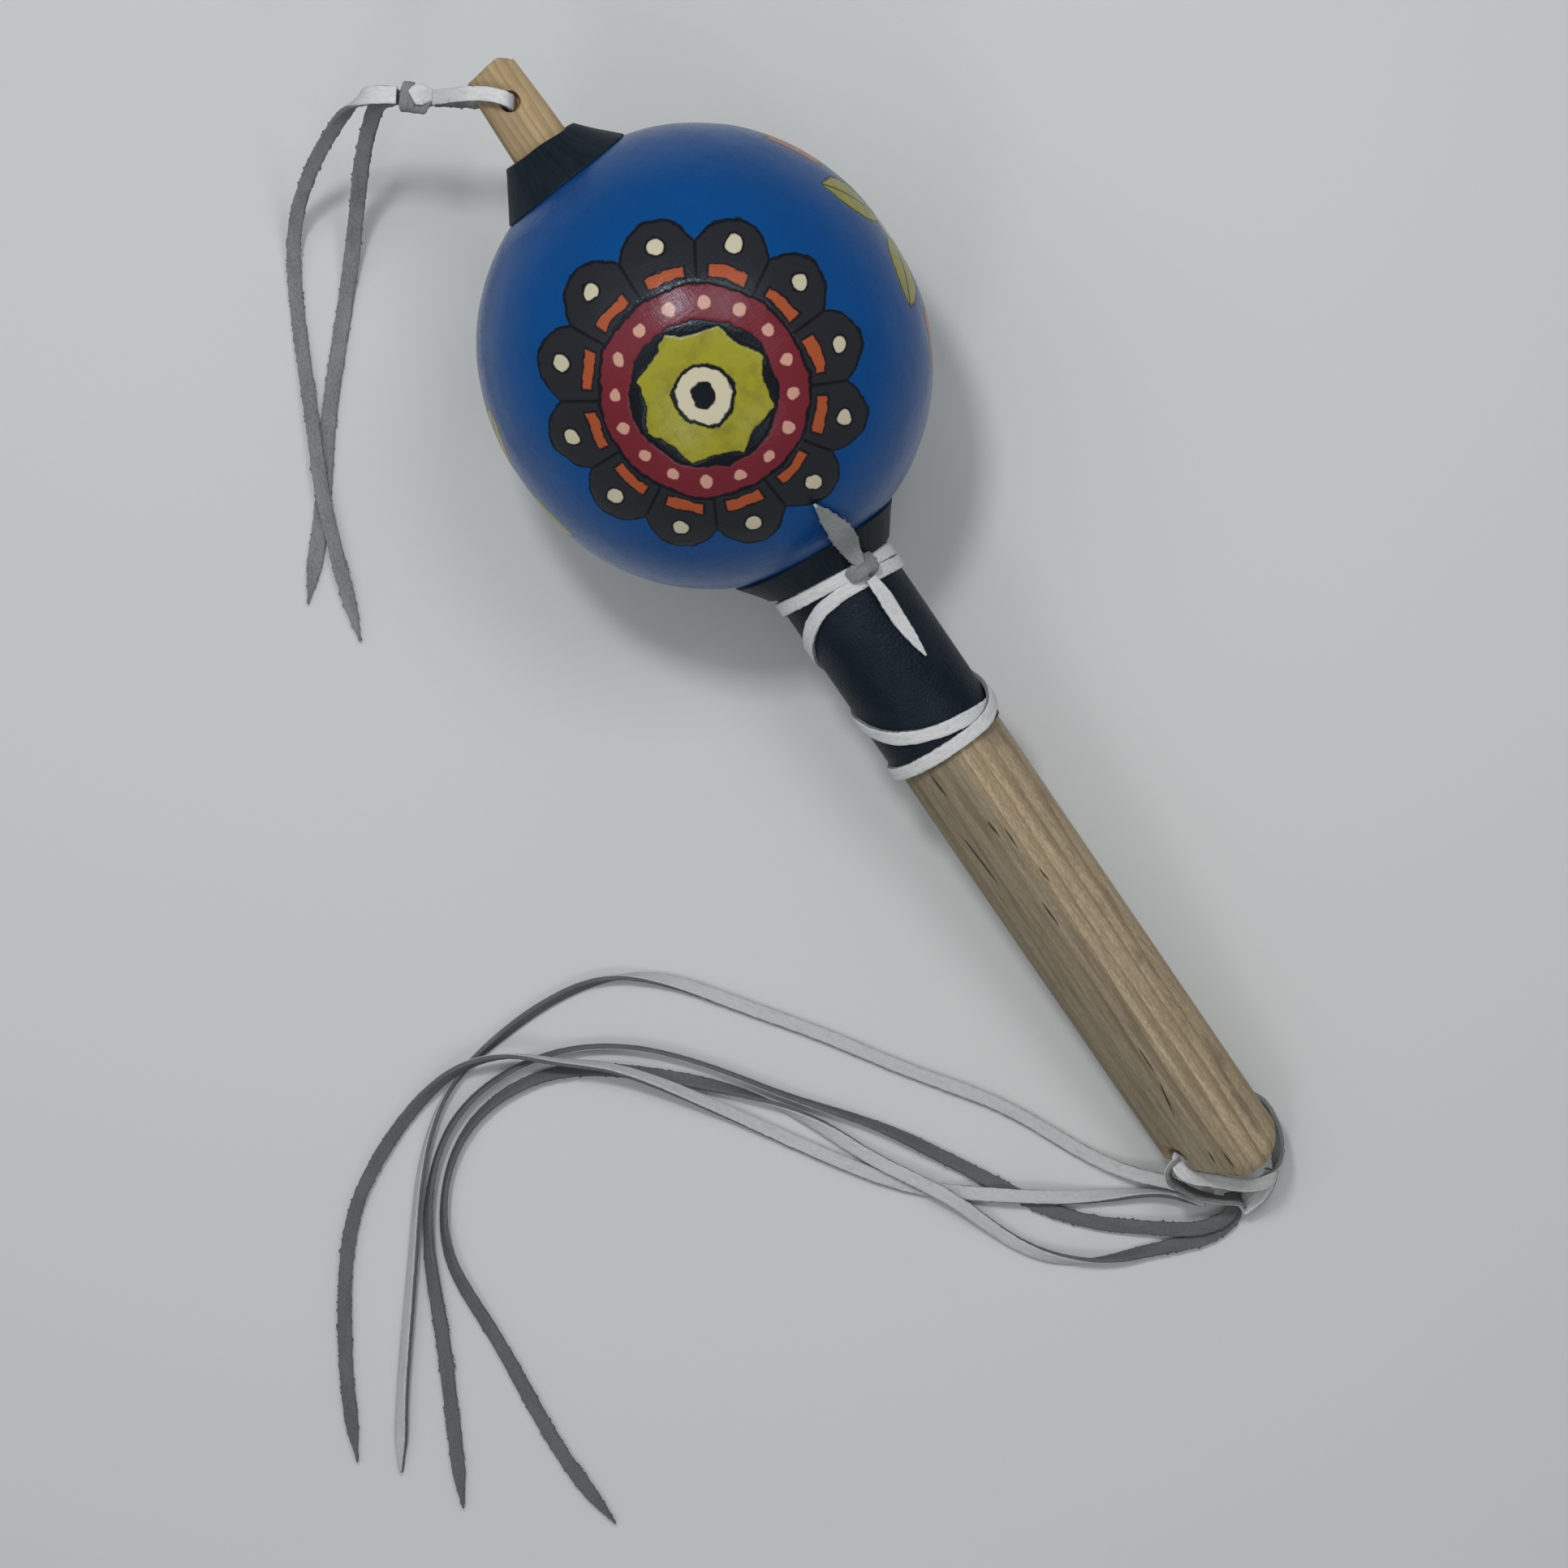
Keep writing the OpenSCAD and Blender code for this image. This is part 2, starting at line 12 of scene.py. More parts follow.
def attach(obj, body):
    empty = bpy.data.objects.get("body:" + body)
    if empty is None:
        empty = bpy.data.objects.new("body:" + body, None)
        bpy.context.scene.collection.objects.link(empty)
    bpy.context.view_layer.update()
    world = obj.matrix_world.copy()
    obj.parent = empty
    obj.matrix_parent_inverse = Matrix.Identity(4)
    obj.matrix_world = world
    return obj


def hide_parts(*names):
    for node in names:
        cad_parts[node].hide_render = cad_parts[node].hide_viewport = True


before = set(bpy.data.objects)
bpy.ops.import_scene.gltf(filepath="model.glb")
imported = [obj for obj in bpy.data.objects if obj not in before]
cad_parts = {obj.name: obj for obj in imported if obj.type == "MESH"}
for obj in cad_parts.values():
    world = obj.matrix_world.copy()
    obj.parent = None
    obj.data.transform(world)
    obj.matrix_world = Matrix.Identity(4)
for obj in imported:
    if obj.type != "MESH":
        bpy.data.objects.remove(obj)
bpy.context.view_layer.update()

MM = 0.001

# %% [markdown]
# The camera comes first, since every later choice is judged through it. The photograph was taken from
# straight above with a long lens, so the picture's right and up are two level directions.
# A camera's matrix holds those two and the way back from the subject as its columns.

# %% Camera
LENS_MM = 90.89
SENSOR_MM = 36
EYE = np.array([-16.45, 39.2, 918.71])
PICTURE_RIGHT = np.array([-0.57037, -0.8214, 0])
PICTURE_UP = np.array([0.8214, -0.57037, 0])

lens = bpy.data.cameras.new("photo_camera")
lens.lens, lens.sensor_width = LENS_MM, SENSOR_MM
lens.dof.use_dof = False
camera = bpy.data.objects.new("photo_camera", lens)
columns = np.column_stack([PICTURE_RIGHT, PICTURE_UP, np.cross(PICTURE_RIGHT, PICTURE_UP), EYE * MM])
camera.matrix_world = Matrix(np.vstack([columns, [0, 0, 0, 1]]).tolist())
bpy.context.scene.collection.objects.link(camera)
bpy.context.scene.camera = camera
print("camera height in metres:", EYE[2] * MM)

# %% [markdown]
# The handle's axis is the ruler for most pieces. It leans because the gourd and the butt both touch the
# table. A place on it is a station s along the axis from the gourd's middle, a radius r, and an angle
# from the top towards the side where the laces lie, so round things become plain grids of numbers.

# %% The handle's own frame
GOURD_R, BALL_S = 48.75, 3.0
HANDLE_R, BUTT_ROUND, GRIP_LENGTH = 12.7, 4.0, 168.0
SPINDLE_R, TIP_LENGTH, TIP_END_R, TIP_ROUND = 7.2, 26.0, 6.2, 0.8
GOURD_OFFSET, SEAT_GAP = 3.8, 0.15
POLE = GOURD_R + BALL_S
TIP_S, BUTT_S = POLE + TIP_LENGTH, -POLE - GRIP_LENGTH
reach = -BUTT_S - BUTT_ROUND
TILT = np.arcsin((GOURD_R - BUTT_ROUND) / np.hypot(reach - BALL_S, HANDLE_R - BUTT_ROUND)) - np.arctan2(
    HANDLE_R - BUTT_ROUND, reach - BALL_S)
AXIS = np.array([np.cos(TILT), 0, np.sin(TILT)])
UPWARD = np.array([-np.sin(TILT), 0, np.cos(TILT)])
SIDE, UP = np.array([0.0, 1, 0]), np.array([0.0, 0, 1])
tip_x = (TIP_S - TIP_ROUND) * AXIS[0] + (TIP_END_R - TIP_ROUND) * AXIS[2] + TIP_ROUND
butt_x = reach * AXIS[0] + (HANDLE_R - BUTT_ROUND) * AXIS[2] + BUTT_ROUND
CENTRE = np.array([(butt_x - tip_x) / 2, GOURD_OFFSET, GOURD_R + BALL_S * AXIS[2]])


def from_axis(up, side, s, origin=CENTRE):
    """Place = origin + s along the axis + up and side along their own directions, in mm."""
    up, side, s = np.broadcast_arrays(up, side, s)
    return origin + s[..., None] * AXIS + up[..., None] * UPWARD + side[..., None] * SIDE


def on_handle(r, angle, s):
    """The place at up = r cos(angle), side = r sin(angle) and station s."""
    return from_axis(r * np.cos(angle), r * np.sin(angle), s)


def unit(v):
    """A vector divided by its own length."""
    return v / np.linalg.norm(v, axis=-1, keepdims=True)


def ease(low, high, x):
    """0 below low, 1 above high, and 3t^2 - 2t^3 between them."""
    t = np.clip((x - low) / (high - low), 0, 1)
    return t * t * (3 - 2 * t)


print("handle leans by", round(float(np.degrees(TILT)), 2), "degrees")

# %% [markdown]
# Handmade things are never quite even. Lattice noise gives every corner of a grid of cubes a random
# value and blends between the corners, so near places get near values. It works on whole arrays at once.


# %% Smooth noise
def noise(places, seed=0):
    """Sum over a cell's eight corners of a hashed value from -1 to 1 times 3t^2 - 2t^3 weights."""
    places = np.asarray(places, float)
    cell = np.floor(places).astype(np.int64)
    t = places - cell
    t = t * t * (3 - 2 * t)
    total = 0
    for corner in np.ndindex(2, 2, 2):
        q = cell + corner
        mixed = (q @ np.array([374761393, 668265263, 1274126177]) + seed * 974634777) & 0xFFFFFFFF
        mixed = ((mixed ^ (mixed >> 13)) * 1274126177) & 0xFFFFFFFF
        value = ((mixed ^ (mixed >> 16)) & 0xFFFF) / 32767.5 - 1
        total = total + value * np.where(corner, t, 1 - t).prod(-1)
    return total


def stacked(*parts):
    """Several arrays of numbers as one array of vectors."""
    return np.stack(np.broadcast_arrays(*parts), axis=-1)


print("noise at three places:", noise([[0.5, 0, 0], [1.5, 2, 0], [3.5, 1, 2]]).round(2))

# %% [markdown]
# Every piece ends as a grid of points that is turned into a mesh. Columns run round the piece and close
# on themselves. Rows run along it: they close too, as on a shell with an inside, or end in a flat cap.
# The signed volume of the result says whether its faces look outward, and turns them if they don't.


# %% From a grid to a piece
def add_piece(name, grids, fields, material, body, nodes, closed_rows=False):
    """Join grids of rows x columns x 3, in mm, to one mesh; fields are values for its points."""
    points, quads, caps, base = [], [], [], 0
    for grid in grids:
        rows, cols = grid.shape[:2]
        index = base + np.arange(rows * cols).reshape(rows, cols)
        right = np.roll(index, -1, axis=1)
        near, far = (index, np.roll(index, -1, axis=0)) if closed_rows else (index[:-1], index[1:])
        near_right = right if closed_rows else right[:-1]
        far_right = np.roll(right, -1, axis=0) if closed_rows else right[1:]
        faces = np.stack([near, near_right, far_right, far], axis=-1).reshape(-1, 4)
        ends = [] if closed_rows else [index[0][::-1], index[-1]]
        flat = grid.reshape(-1, 3)
        a, b, c, d = (flat[faces[:, k] - base] - flat.mean(0) for k in range(4))
        volume = np.einsum("ij,ij->", a, np.cross(b, c) + np.cross(c, d))
        if volume < 0:
            faces, ends = faces[:, ::-1], [e[::-1] for e in ends]
        points.append(flat)
        quads.append(faces)
        caps += ends
        base += rows * cols
    points, quads = np.vstack(points), np.vstack(quads)
    mesh = bpy.data.meshes.new(name)
    mesh.from_pydata((points * MM).tolist(), [], quads.tolist() + [c.tolist() for c in caps])
    mesh.polygons.foreach_set("use_smooth", np.ones(len(mesh.polygons), bool))
    for key, values in fields.items():
        values = np.concatenate([np.asarray(v, np.float32).reshape(-1, *np.shape(v)[2:]) for v in values])
        kind, slot_name = ("FLOAT", "value") if values.ndim == 1 else ("FLOAT_VECTOR", "vector")
        mesh.attributes.new(key, kind, "POINT").data.foreach_set(slot_name, values.ravel())
    mesh.materials.append(material)
    piece = bpy.data.objects.new(name, mesh)
    bpy.context.scene.collection.objects.link(piece)
    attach(piece, body)
    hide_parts(*nodes)
    print(name, "points:", len(points))
    return piece


# %% [markdown]
# Shaders are sums too. The small class below lets Python's own + and * build Blender's Math nodes, so a
# pattern reads as a formula. Effects that several materials share become node groups, whose outputs are
# only masks, values and normals. The Principled shader stays in each material.


# %% Formulas made of nodes
class Field:
    """One value in a shader: arithmetic on it adds a Math node and gives the node's result."""

    def __init__(self, tree, socket):
        self.tree, self.socket = tree, socket

    def op(self, kind, *others, clamp=False):
        """One Math node of a kind, with this value first."""
        made = self.tree.nodes.new("ShaderNodeMath")
        made.operation, made.use_clamp = kind, clamp
        for place, value in zip(made.inputs, (self, *others)):
            if isinstance(value, Field):
                self.tree.links.new(value.socket, place)
            else:
                place.default_value = value
        return Field(self.tree, made.outputs[0])

    def __add__(self, other):
        return self.op("ADD", other)

    def __sub__(self, other):
        return self.op("SUBTRACT", other)

    def __mul__(self, other):
        return self.op("MULTIPLY", other)

    def __truediv__(self, other):
        return self.op("DIVIDE", other)

    def __abs__(self):
        return self.op("ABSOLUTE")

    def most(self, other):
        """The larger of two values."""
        return self.op("MAXIMUM", other)

    def inverse(self):
        """1 minus the value, kept between 0 and 1."""
        return (self * -1).op("ADD", 1, clamp=True)

    def under(self, edge, soft=0.12):
        """1 where the value is below edge, with a painted edge of width 2 soft."""
        return ((self * -1 + edge) / (2 * soft)).op("ADD", 0.5, clamp=True)


def add(tree, kind, values=(), **settings):
    """Make one node; values are its inputs by name or number, each a constant or something to link."""
    made = tree.nodes.new("ShaderNode" + kind)
    for key, value in settings.items():
        setattr(made, key, value)
    for key, value in dict(values).items():
        if isinstance(value, Field):
            value = value.socket
        if isinstance(value, bpy.types.NodeSocket):
            tree.links.new(value, made.inputs[key])
        else:
            made.inputs[key].default_value = value
    return made


def layer(tree, mask, below, above):
    """One colour painted over another where the mask is 1."""
    return add(tree, "Mix", {"Factor": mask, 6: below, 7: above}, data_type="RGBA").outputs[2]


def washes(tree, colour, *coats):
    """Coats of colour laid over a first one, in order; each is a mask and the coat's colour."""
    for mask, tint in coats:
        colour = layer(tree, mask, colour, tint)
    return colour


def new_material(name):
    """An empty material and its tree, with a Principled shader joined to the output."""
    material = bpy.data.materials.new(name)
    material.use_nodes = True
    tree = material.node_tree
    return material, tree, tree.nodes["Principled BSDF"]


def set_shader(tree, shader, **values):
    """Set or link the Principled shader's own inputs."""
    for key, value in values.items():
        place = shader.inputs[key.replace("_", " ")]
        value = value.socket if isinstance(value, Field) else value
        if isinstance(value, bpy.types.NodeSocket):
            tree.links.new(value, place)
        else:
            place.default_value = value


def attribute(tree, name, output="Fac"):
    """The values that a piece's points carry under a name."""
    return add(tree, "Attribute", attribute_name=name).outputs[output]


print("a formula such as a * 2 + b now makes two Math nodes")

# %% [markdown]
# Two groups serve all materials. The first is a mask of soft blotches, for stains, wear and brush marks,
# drawn out along a direction by the scale of its place. The second turns a height into a normal.


# %% Shared node groups
def new_group(name, inputs, outputs):
    """A node group with typed sockets, and its inside tree, input and output nodes."""
    group = bpy.data.node_groups.new(name, "ShaderNodeTree")
    for label, kind in inputs:
        group.interface.new_socket(label, in_out="INPUT", socket_type="NodeSocket" + kind)
    for label, kind in outputs:
        group.interface.new_socket(label, in_out="OUTPUT", socket_type="NodeSocket" + kind)
    return group, group.nodes.new("NodeGroupInput"), group.nodes.new("NodeGroupOutput")


blotches, given, result = new_group(
    "blotches", [("Place", "Vector"), ("Stretch", "Vector"), ("Low", "Float"), ("High", "Float")],
    [("Mask", "Float"), ("Value", "Float")])
stretched = add(blotches, "VectorMath", {0: given.outputs["Place"], 1: given.outputs["Stretch"]},
                operation="MULTIPLY")
cloud = add(blotches, "TexNoise", {"Vector": stretched.outputs[0], "Scale": 1.0, "Detail": 4.0})
cut = add(blotches, "MapRange", {"Value": cloud.outputs[0], "From Min": given.outputs["Low"],
                                 "From Max": given.outputs["High"]})
blotches.links.new(cut.outputs[0], result.inputs["Mask"])
blotches.links.new(cloud.outputs[0], result.inputs["Value"])

relief, given, result = new_group(
    "relief", [("Height", "Float"), ("Depth", "Float")], [("Normal", "Vector")])
bump = add(relief, "Bump", {"Height": given.outputs["Height"], "Distance": given.outputs["Depth"],
                            "Strength": 1.0})
relief.links.new(bump.outputs[0], result.inputs["Normal"])


def blotch(tree, place, stretch, low, high, output="Mask"):
    """A mask of noise between two levels; stretch is its grain per mm along each direction."""
    made = add(tree, "Group", node_tree=blotches)
    tree.links.new(place, made.inputs["Place"])
    made.inputs["Stretch"].default_value = stretch
    made.inputs["Low"].default_value, made.inputs["High"].default_value = low, high
    return Field(tree, made.outputs[output])


def relieved(tree, height, depth_mm):
    """The normal of a surface that rises by depth_mm where the height goes from 0 to 1."""
    made = add(tree, "Group", node_tree=relief)
    tree.links.new(height.socket, made.inputs["Height"])
    made.inputs["Depth"].default_value = depth_mm * MM
    return made.outputs[0]


print("node groups:", [g.name for g in bpy.data.node_groups])

# %% [markdown]
# The lace is a flat leather strip, white and smooth on the grain side and grey and furry on the flesh
# side. Each of its points carries where it sits across the strip, which face it is on and how far along
# it lies, so one material can tell the two faces and the cut edges apart wherever the strip twists.
# The long laces at the butt are painted greyer and darker, which is one more number on their points.

# %% Lace material
GRAIN_FROM, NAP_MM = 0.62, 0.07
lace_leather, tree, shader = new_material("lace_leather")
face, darkened = (Field(tree, attribute(tree, name)) for name in ("face", "darkened"))
strip = attribute(tree, "strip", "Vector")
fur = blotch(tree, strip, (2.6, 2.6, 1.4), 0.3, 0.7)
nap = blotch(tree, strip, (0.35, 0.35, 0.14), 0.35, 0.7)
fibres = blotch(tree, strip, (2.4, 2.4, 0.8), 0.42, 0.72)
scuffs = blotch(tree, strip, (0.9, 0.5, 0.25), 0.52, 0.74)
# the last coat on each face paints the long laces at the butt greyer and darker
white = washes(tree, (0.62, 0.63, 0.63, 1), (fibres * 0.45, (0.44, 0.45, 0.45, 1)),
               (scuffs * 0.4, (0.36, 0.37, 0.37, 1)), (darkened * 0.4, (0.335, 0.362, 0.358, 1)))
suede = washes(tree, (0.120, 0.128, 0.126, 1), (fur, (0.235, 0.246, 0.243, 1)),
               (nap * 0.45, (0.30, 0.31, 0.305, 1)), (darkened * 0.6, (0.068, 0.075, 0.073, 1)))
is_grain = face.under(GRAIN_FROM).inverse()
rough_height = Field(tree, layer(tree, is_grain, fur, fibres))
set_shader(tree, shader, Base_Color=layer(tree, is_grain, suede, white), Roughness=is_grain * -0.35 + 0.95,
           Specular_IOR_Level=0.2, Normal=relieved(tree, rough_height, NAP_MM))
print("lace: white above", GRAIN_FROM, "of its half thickness, suede below")

# %% [markdown]
# A strip is a cross-section carried along a path. A natural cubic spline takes the path smoothly through
# given points, as its bend changes evenly from point to point. Each point's fourth number is the
# strip's twist in degrees: 0 lies flat with the grain up, 90 stands on edge and 180 shows the suede.

# %% Paths and strips
LACE_WIDTH, LACE_THICK = 3.2, 1.2
STEP, TABLE_CLEAR = 0.4, 0.05
RAGGED, HAIR, BREATH = 0.07, 0.60, 0.04
SUEDE_FUZZ, GRAIN_FUZZ = 0.06, 0.012
SECTION = np.array([[1, -0.45], [1, 0.15], [0.97, 0.7], [0.88, 0.96], [0.6, 1], [0.3, 1], [0, 1], [-0.3, 1],
                    [-0.6, 1], [-0.88, 0.96], [-0.97, 0.7], [-1, 0.15], [-1, -0.45], [-0.95, -0.85],
                    [-0.8, -1], [-0.4, -1], [0, -1], [0.4, -1], [0.8, -1], [0.95, -0.85]])


def run_along(points):
    """Distance along a path at each of its points: the running sum of the lengths of its steps."""
    return np.r_[0, np.cumsum(np.linalg.norm(np.diff(points, axis=0), axis=1))]


def smooth_path(points, step=STEP):
    """Natural cubic spline through the points over their chord lengths, walked in equal steps."""
    p = np.asarray(points, float)
    knots = run_along(p[:, :3])
    gap = np.diff(knots)
    inner = np.arange(1, len(p) - 1)
    system, change = np.eye(len(p)), np.zeros_like(p)
    system[inner, inner - 1], system[inner, inner + 1] = gap[:-1], gap[1:]
    system[inner, inner] = 2 * (gap[:-1] + gap[1:])
    change[1:-1] = 6 * np.diff(np.diff(p, axis=0) / gap[:, None], axis=0)
    bend = np.linalg.solve(system, change)
    x = np.linspace(0, knots[-1], 6000)
    k = np.clip(np.searchsorted(knots, x, side="right") - 1, 0, len(p) - 2)
    h, u = gap[k][:, None], (x - knots[k])[:, None]
    v = h - u
    fine = ((bend[k] * v**3 + bend[k + 1] * u**3) / (6 * h)
            + (p[k] / h - bend[k] * h / 6) * v + (p[k + 1] / h - bend[k + 1] * h / 6) * u)
    run = run_along(fine[:, :3])
    even = np.linspace(0, run[-1], int(run[-1] / step) + 2)
    return np.column_stack([np.interp(even, run, c) for c in fine.T]), even


def strip_grid(path, side, twist, share, seed, on_table=False, darkened=0.0):
    """Ring = path + across x width direction + height x face direction, both turned by the twist.

    The width direction is the part of side that is square to the path, or level without a side.
    """
    run, ahead = run_along(path), unit(np.gradient(path, axis=0))
    side = np.cross(UP, ahead) if side is None else side
    side = unit(side - (side * ahead).sum(-1, keepdims=True) * ahead)
    turn = np.radians(twist)[:, None]
    wide = side * np.cos(turn) + np.cross(ahead, side) * np.sin(turn)
    rise = np.cross(ahead, wide)
    x, y = SECTION.T
    along = stacked(run[:, None], x * 2 + 7 * seed, y * 0.7)
    edge, under_side = np.abs(x) > 0.9, y < 0.5
    suede_up = 0.15 + 0.85 * ease(-0.3, 0.3, -rise[:, 2:])
    hairs = np.maximum(noise(along * [2.6, 1, 1], seed) - 0.45, 0)
    ragged = edge * (RAGGED * noise(along * [1.4, 1, 1], seed + 3) + under_side * HAIR * suede_up * hairs)
    breathing = 1 + BREATH * noise(along * [0.14, 0, 0], seed + 1)
    half = LACE_WIDTH / 2 * (np.asarray(share)[:, None] * breathing + ragged)
    fuzzy = np.where(y < 0, SUEDE_FUZZ, GRAIN_FUZZ) * noise(along * [1.7, 3, 1], seed + 2)
    ring = (path[:, None] + wide[:, None] * (x * half)[..., None]
            + rise[:, None] * (y * LACE_THICK / 2 + fuzzy)[..., None])
    if on_table:
        ring[..., 2] += np.maximum(TABLE_CLEAR - ring[..., 2].min(1), 0)[:, None]
    fields = {"face": np.broadcast_to(y, ring.shape[:2]), "darkened": np.full(ring.shape[:2], darkened),
              "strip": stacked(x * LACE_WIDTH / 2 + 11 * seed, y * LACE_THICK, run[:, None])}
    return ring, fields


def add_strips(name, strips, body, nodes):
    """One piece of lace leather from several strips, each a ring grid and its fields."""
    fields = {key: [f[key] for _, f in strips] for key in strips[0][1]}
    return add_piece(name, [g for g, _ in strips], fields, lace_leather, body, nodes)


def pointed(even, length=11.0, least=0.12):
    """A strip's share of its full width: 1, and drawn to a point over its last stretch."""
    return least + (1 - least) * ease(0, length, even[-1] - even) ** 0.7


print("lace section:", LACE_WIDTH, "x", LACE_THICK, "mm in", len(SECTION), "points")

# %% [markdown]
# Four long laces lie on the table. Their points were read off the photograph, from the knot at the
# butt to the cut ends, and raised where one crosses another. Each is in view along its whole length.

# %% The fringe
BUTT_HOLE_S, TIP_HOLE_S = BUTT_S + 9.8, TIP_S - 8.2
BUTT_HOLE, TIP_HOLE = (on_handle(0.0, 0.0, s) for s in (BUTT_HOLE_S, TIP_HOLE_S))
FRINGE = {
    "fringe_1": [
        [-14.3, 8.6, 6, 0], [-8.8, 12.4, 5.4, 0], [-0.3, 20.2, 2.6, 0], [10.7, 27.2, 0.9, 5],
        [27.7, 35.2, 0.9, 10], [48.7, 49.2, 0.9, 10], [65.7, 60.2, 0.9, 10], [85.7, 74.2, 1, 15],
        [97.7, 83.2, 1.4, 40], [105.7, 93.2, 1.8, 95], [109.7, 108.2, 1.8, 122],
        [109.7, 122.2, 1.8, 117], [106.7, 138.2, 1.8, 92], [95.7, 154.2, 1.8, 70],
        [80.7, 167.2, 1.8, 60], [63.7, 181.2, 1.6, 50], [49.7, 192.2, 1.4, 40], [39.7, 199.2, 1, 20]],
    "fringe_2": [
        [-16.3, 4.4, 2.9, 180], [-19.8, 6.4, 2.4, 180], [-20.3, 11.2, 2.4, 180],
        [-14.3, 22.2, 1.8, 178], [-4.3, 34.2, 0.9, 176], [5.7, 42.2, 0.9, 176],
        [14.7, 47.2, 0.9, 185], [29.7, 55.2, 1.5, 215], [41.7, 62.2, 1.7, 240],
        [60.7, 76.2, 1.8, 265], [71.7, 83.7, 1.8, 270], [81.7, 91.2, 1.8, 270],
        [91.7, 101.2, 1.8, 270], [98.7, 113.2, 1.8, 265], [101.7, 126.2, 1.8, 260],
        [99.7, 142.2, 1.8, 255], [91.7, 154.2, 1.8, 250], [78.7, 164.2, 1.8, 225],
        [62.7, 172.2, 1.3, 195], [41.7, 183.2, 0.9, 188], [24.7, 192.2, 0.9, 180]],
    "fringe_3": [
        [-14.3, 10.2, 4.7, 0], [-10.3, 14.2, 3.4, 60], [-6.3, 19.2, 2, 75], [-0.8, 28.2, 1.5, 45],
        [5.7, 38.2, 2.5, 15], [11.7, 46.2, 3, 5], [18.7, 55.2, 1.7, 5], [26.7, 64.2, 0.9, 10],
        [38.7, 73.2, 1, 15], [55.7, 83.7, 1.2, 20], [70.7, 92.7, 3, 35], [81.7, 99.7, 4.9, 50],
        [90.7, 107.2, 5.6, 65], [97.7, 115.2, 5.8, 78], [104.7, 123.2, 5.8, 95],
        [108.7, 133.2, 5, 115], [107.7, 147.2, 2.2, 140], [103.7, 159.2, 1.8, 158],
        [94.9, 174.2, 1.6, 168], [84.6, 183.8, 1.3, 172], [74.0, 191.4, 1.1, 175],
        [61.7, 199.0, 0.9, 178], [47.5, 206.2, 0.9, 180]],
    "fringe_4": [
        [-17.3, 4.2, 1, 180], [-21.0, 6.2, 0.9, 180], [-22.4, 11.2, 0.9, 185],
        [-18.4, 24.0, 1.1, 205], [-11.9, 38.6, 1.8, 270], [-2.3, 49.2, 1.5, 325],
        [7.7, 54.2, 1.6, 345], [17.7, 57.7, 3.2, 358], [26.7, 62.2, 3, 360],
        [37.7, 68.2, 1.7, 350], [49.2, 73.2, 1.6, 330], [62.2, 80.7, 1.8, 270],
        [74.7, 91.2, 1.4, 215], [85.7, 102.7, 1.2, 205], [93.7, 113.7, 1.4, 215],
        [97.7, 126.2, 1.6, 230], [95.7, 142.2, 1.8, 245], [86.7, 154.2, 1.8, 250],
        [74.7, 161.2, 1.7, 230], [56.7, 163.2, 1.2, 200], [34.7, 165.2, 0.9, 190],
        [17.7, 166.2, 0.9, 185], [1.7, 165.2, 0.9, 180]],
}


def free_lace(name, points, body, cad_node, seed, wide=(1, 1), darkened=0.0):
    """A pointed lace along spline points.

    Its width goes from the first share of wide to the second between 8 and 18 mm along.
    """
    walk, even = smooth_path(points)
    share = pointed(even) * (wide[0] + (wide[1] - wide[0]) * ease(8, 18, even))
    strip = strip_grid(walk[:, :3], None, walk[:, 3], share, seed, on_table=True, darkened=darkened)
    piece = add_strips(name, [strip], body, [cad_node])
    strip[0].mean(1) * MM
    print(name, "length in mm:", round(float(even[-1]), 1))
    return piece


# the long laces at the butt are painted darker all along
for number, (name, points) in enumerate(FRINGE.items(), 1):
    placed = np.array(points, float) + [BUTT_HOLE[0], BUTT_HOLE[1], 0, 0]
    free_lace(name, placed, "fringe", f"fringe_strand_{number}", number,
              darkened=1.0)

# %% [markdown]
# At the tip a lace goes down through the cross hole and is tied on itself. Its two ends fall from the
# knot to the table, suede side up, and the first lies over the second where they cross.

# %% The lace at the tip
TAILS = {
    "tip_tail_1": [
        [15.7, 19.2, 57.8, 0], [19, 23.6, 56.8, 0], [21, 27.2, 51, 60], [21.4, 37.2, 33, 150],
        [18, 49.2, 14, 180], [12, 57.2, 3.6, 180], [-4, 67.2, 0.9, 180], [-24, 77.2, 2.4, 180],
        [-39, 84.7, 2.6, 180], [-54, 90.7, 2.1, 180], [-72, 97.2, 0.9, 180]],
    "tip_tail_2": [
        [15.7, 19.2, 56.1, 180], [17.4, 22.2, 52.5, 180], [17.4, 26.2, 44, 180],
        [15.4, 31.2, 32, 180], [8, 41.2, 12, 180], [-1.5, 51.2, 2.2, 180], [-14, 63.2, 0.9, 180],
        [-26, 74.2, 0.9, 180], [-42, 87.2, 0.9, 180], [-58, 102.2, 0.9, 180]],
}
TAIL_WIDE = {"tip_tail_1": (1.25, 1.0), "tip_tail_2": (1.12, 1.12)}
FALL_FIT = 60.4
for number, (name, points) in enumerate(TAILS.items(), 1):
    fall = np.array(points, float) * [1, 1, TIP_HOLE[2] / FALL_FIT, 1]
    free_lace(name, fall + [TIP_HOLE[0], TIP_HOLE[1], 0, 0], "hang_lace", f"hang_tail_{number}",
              10 + number, TAIL_WIDE[name])

# %% The loop through the tip
HANG_LOOP = [[10.5, 12.8, -2.5, 180], [8, 9.9, 2.6, 180], [4.8, 5.9, 7, 180], [2, 2.6, 8.2, 180],
             [-0.4, 0.6, 8, 180], [-1.2, 0, 5.6, 180], [0, 0, -0.4, 180], [1.1, 0, -5.8, 180],
             [2, 0.8, -7.6, 180], [4, 3.2, -7.8, 180], [7.4, 8.2, -6.2, 180], [10.5, 12.8, -4.3, 180]]
HEADING, ACROSS = np.array([0.63, 0.77, 0.0]), np.array([-0.77, 0.63, 0.0])


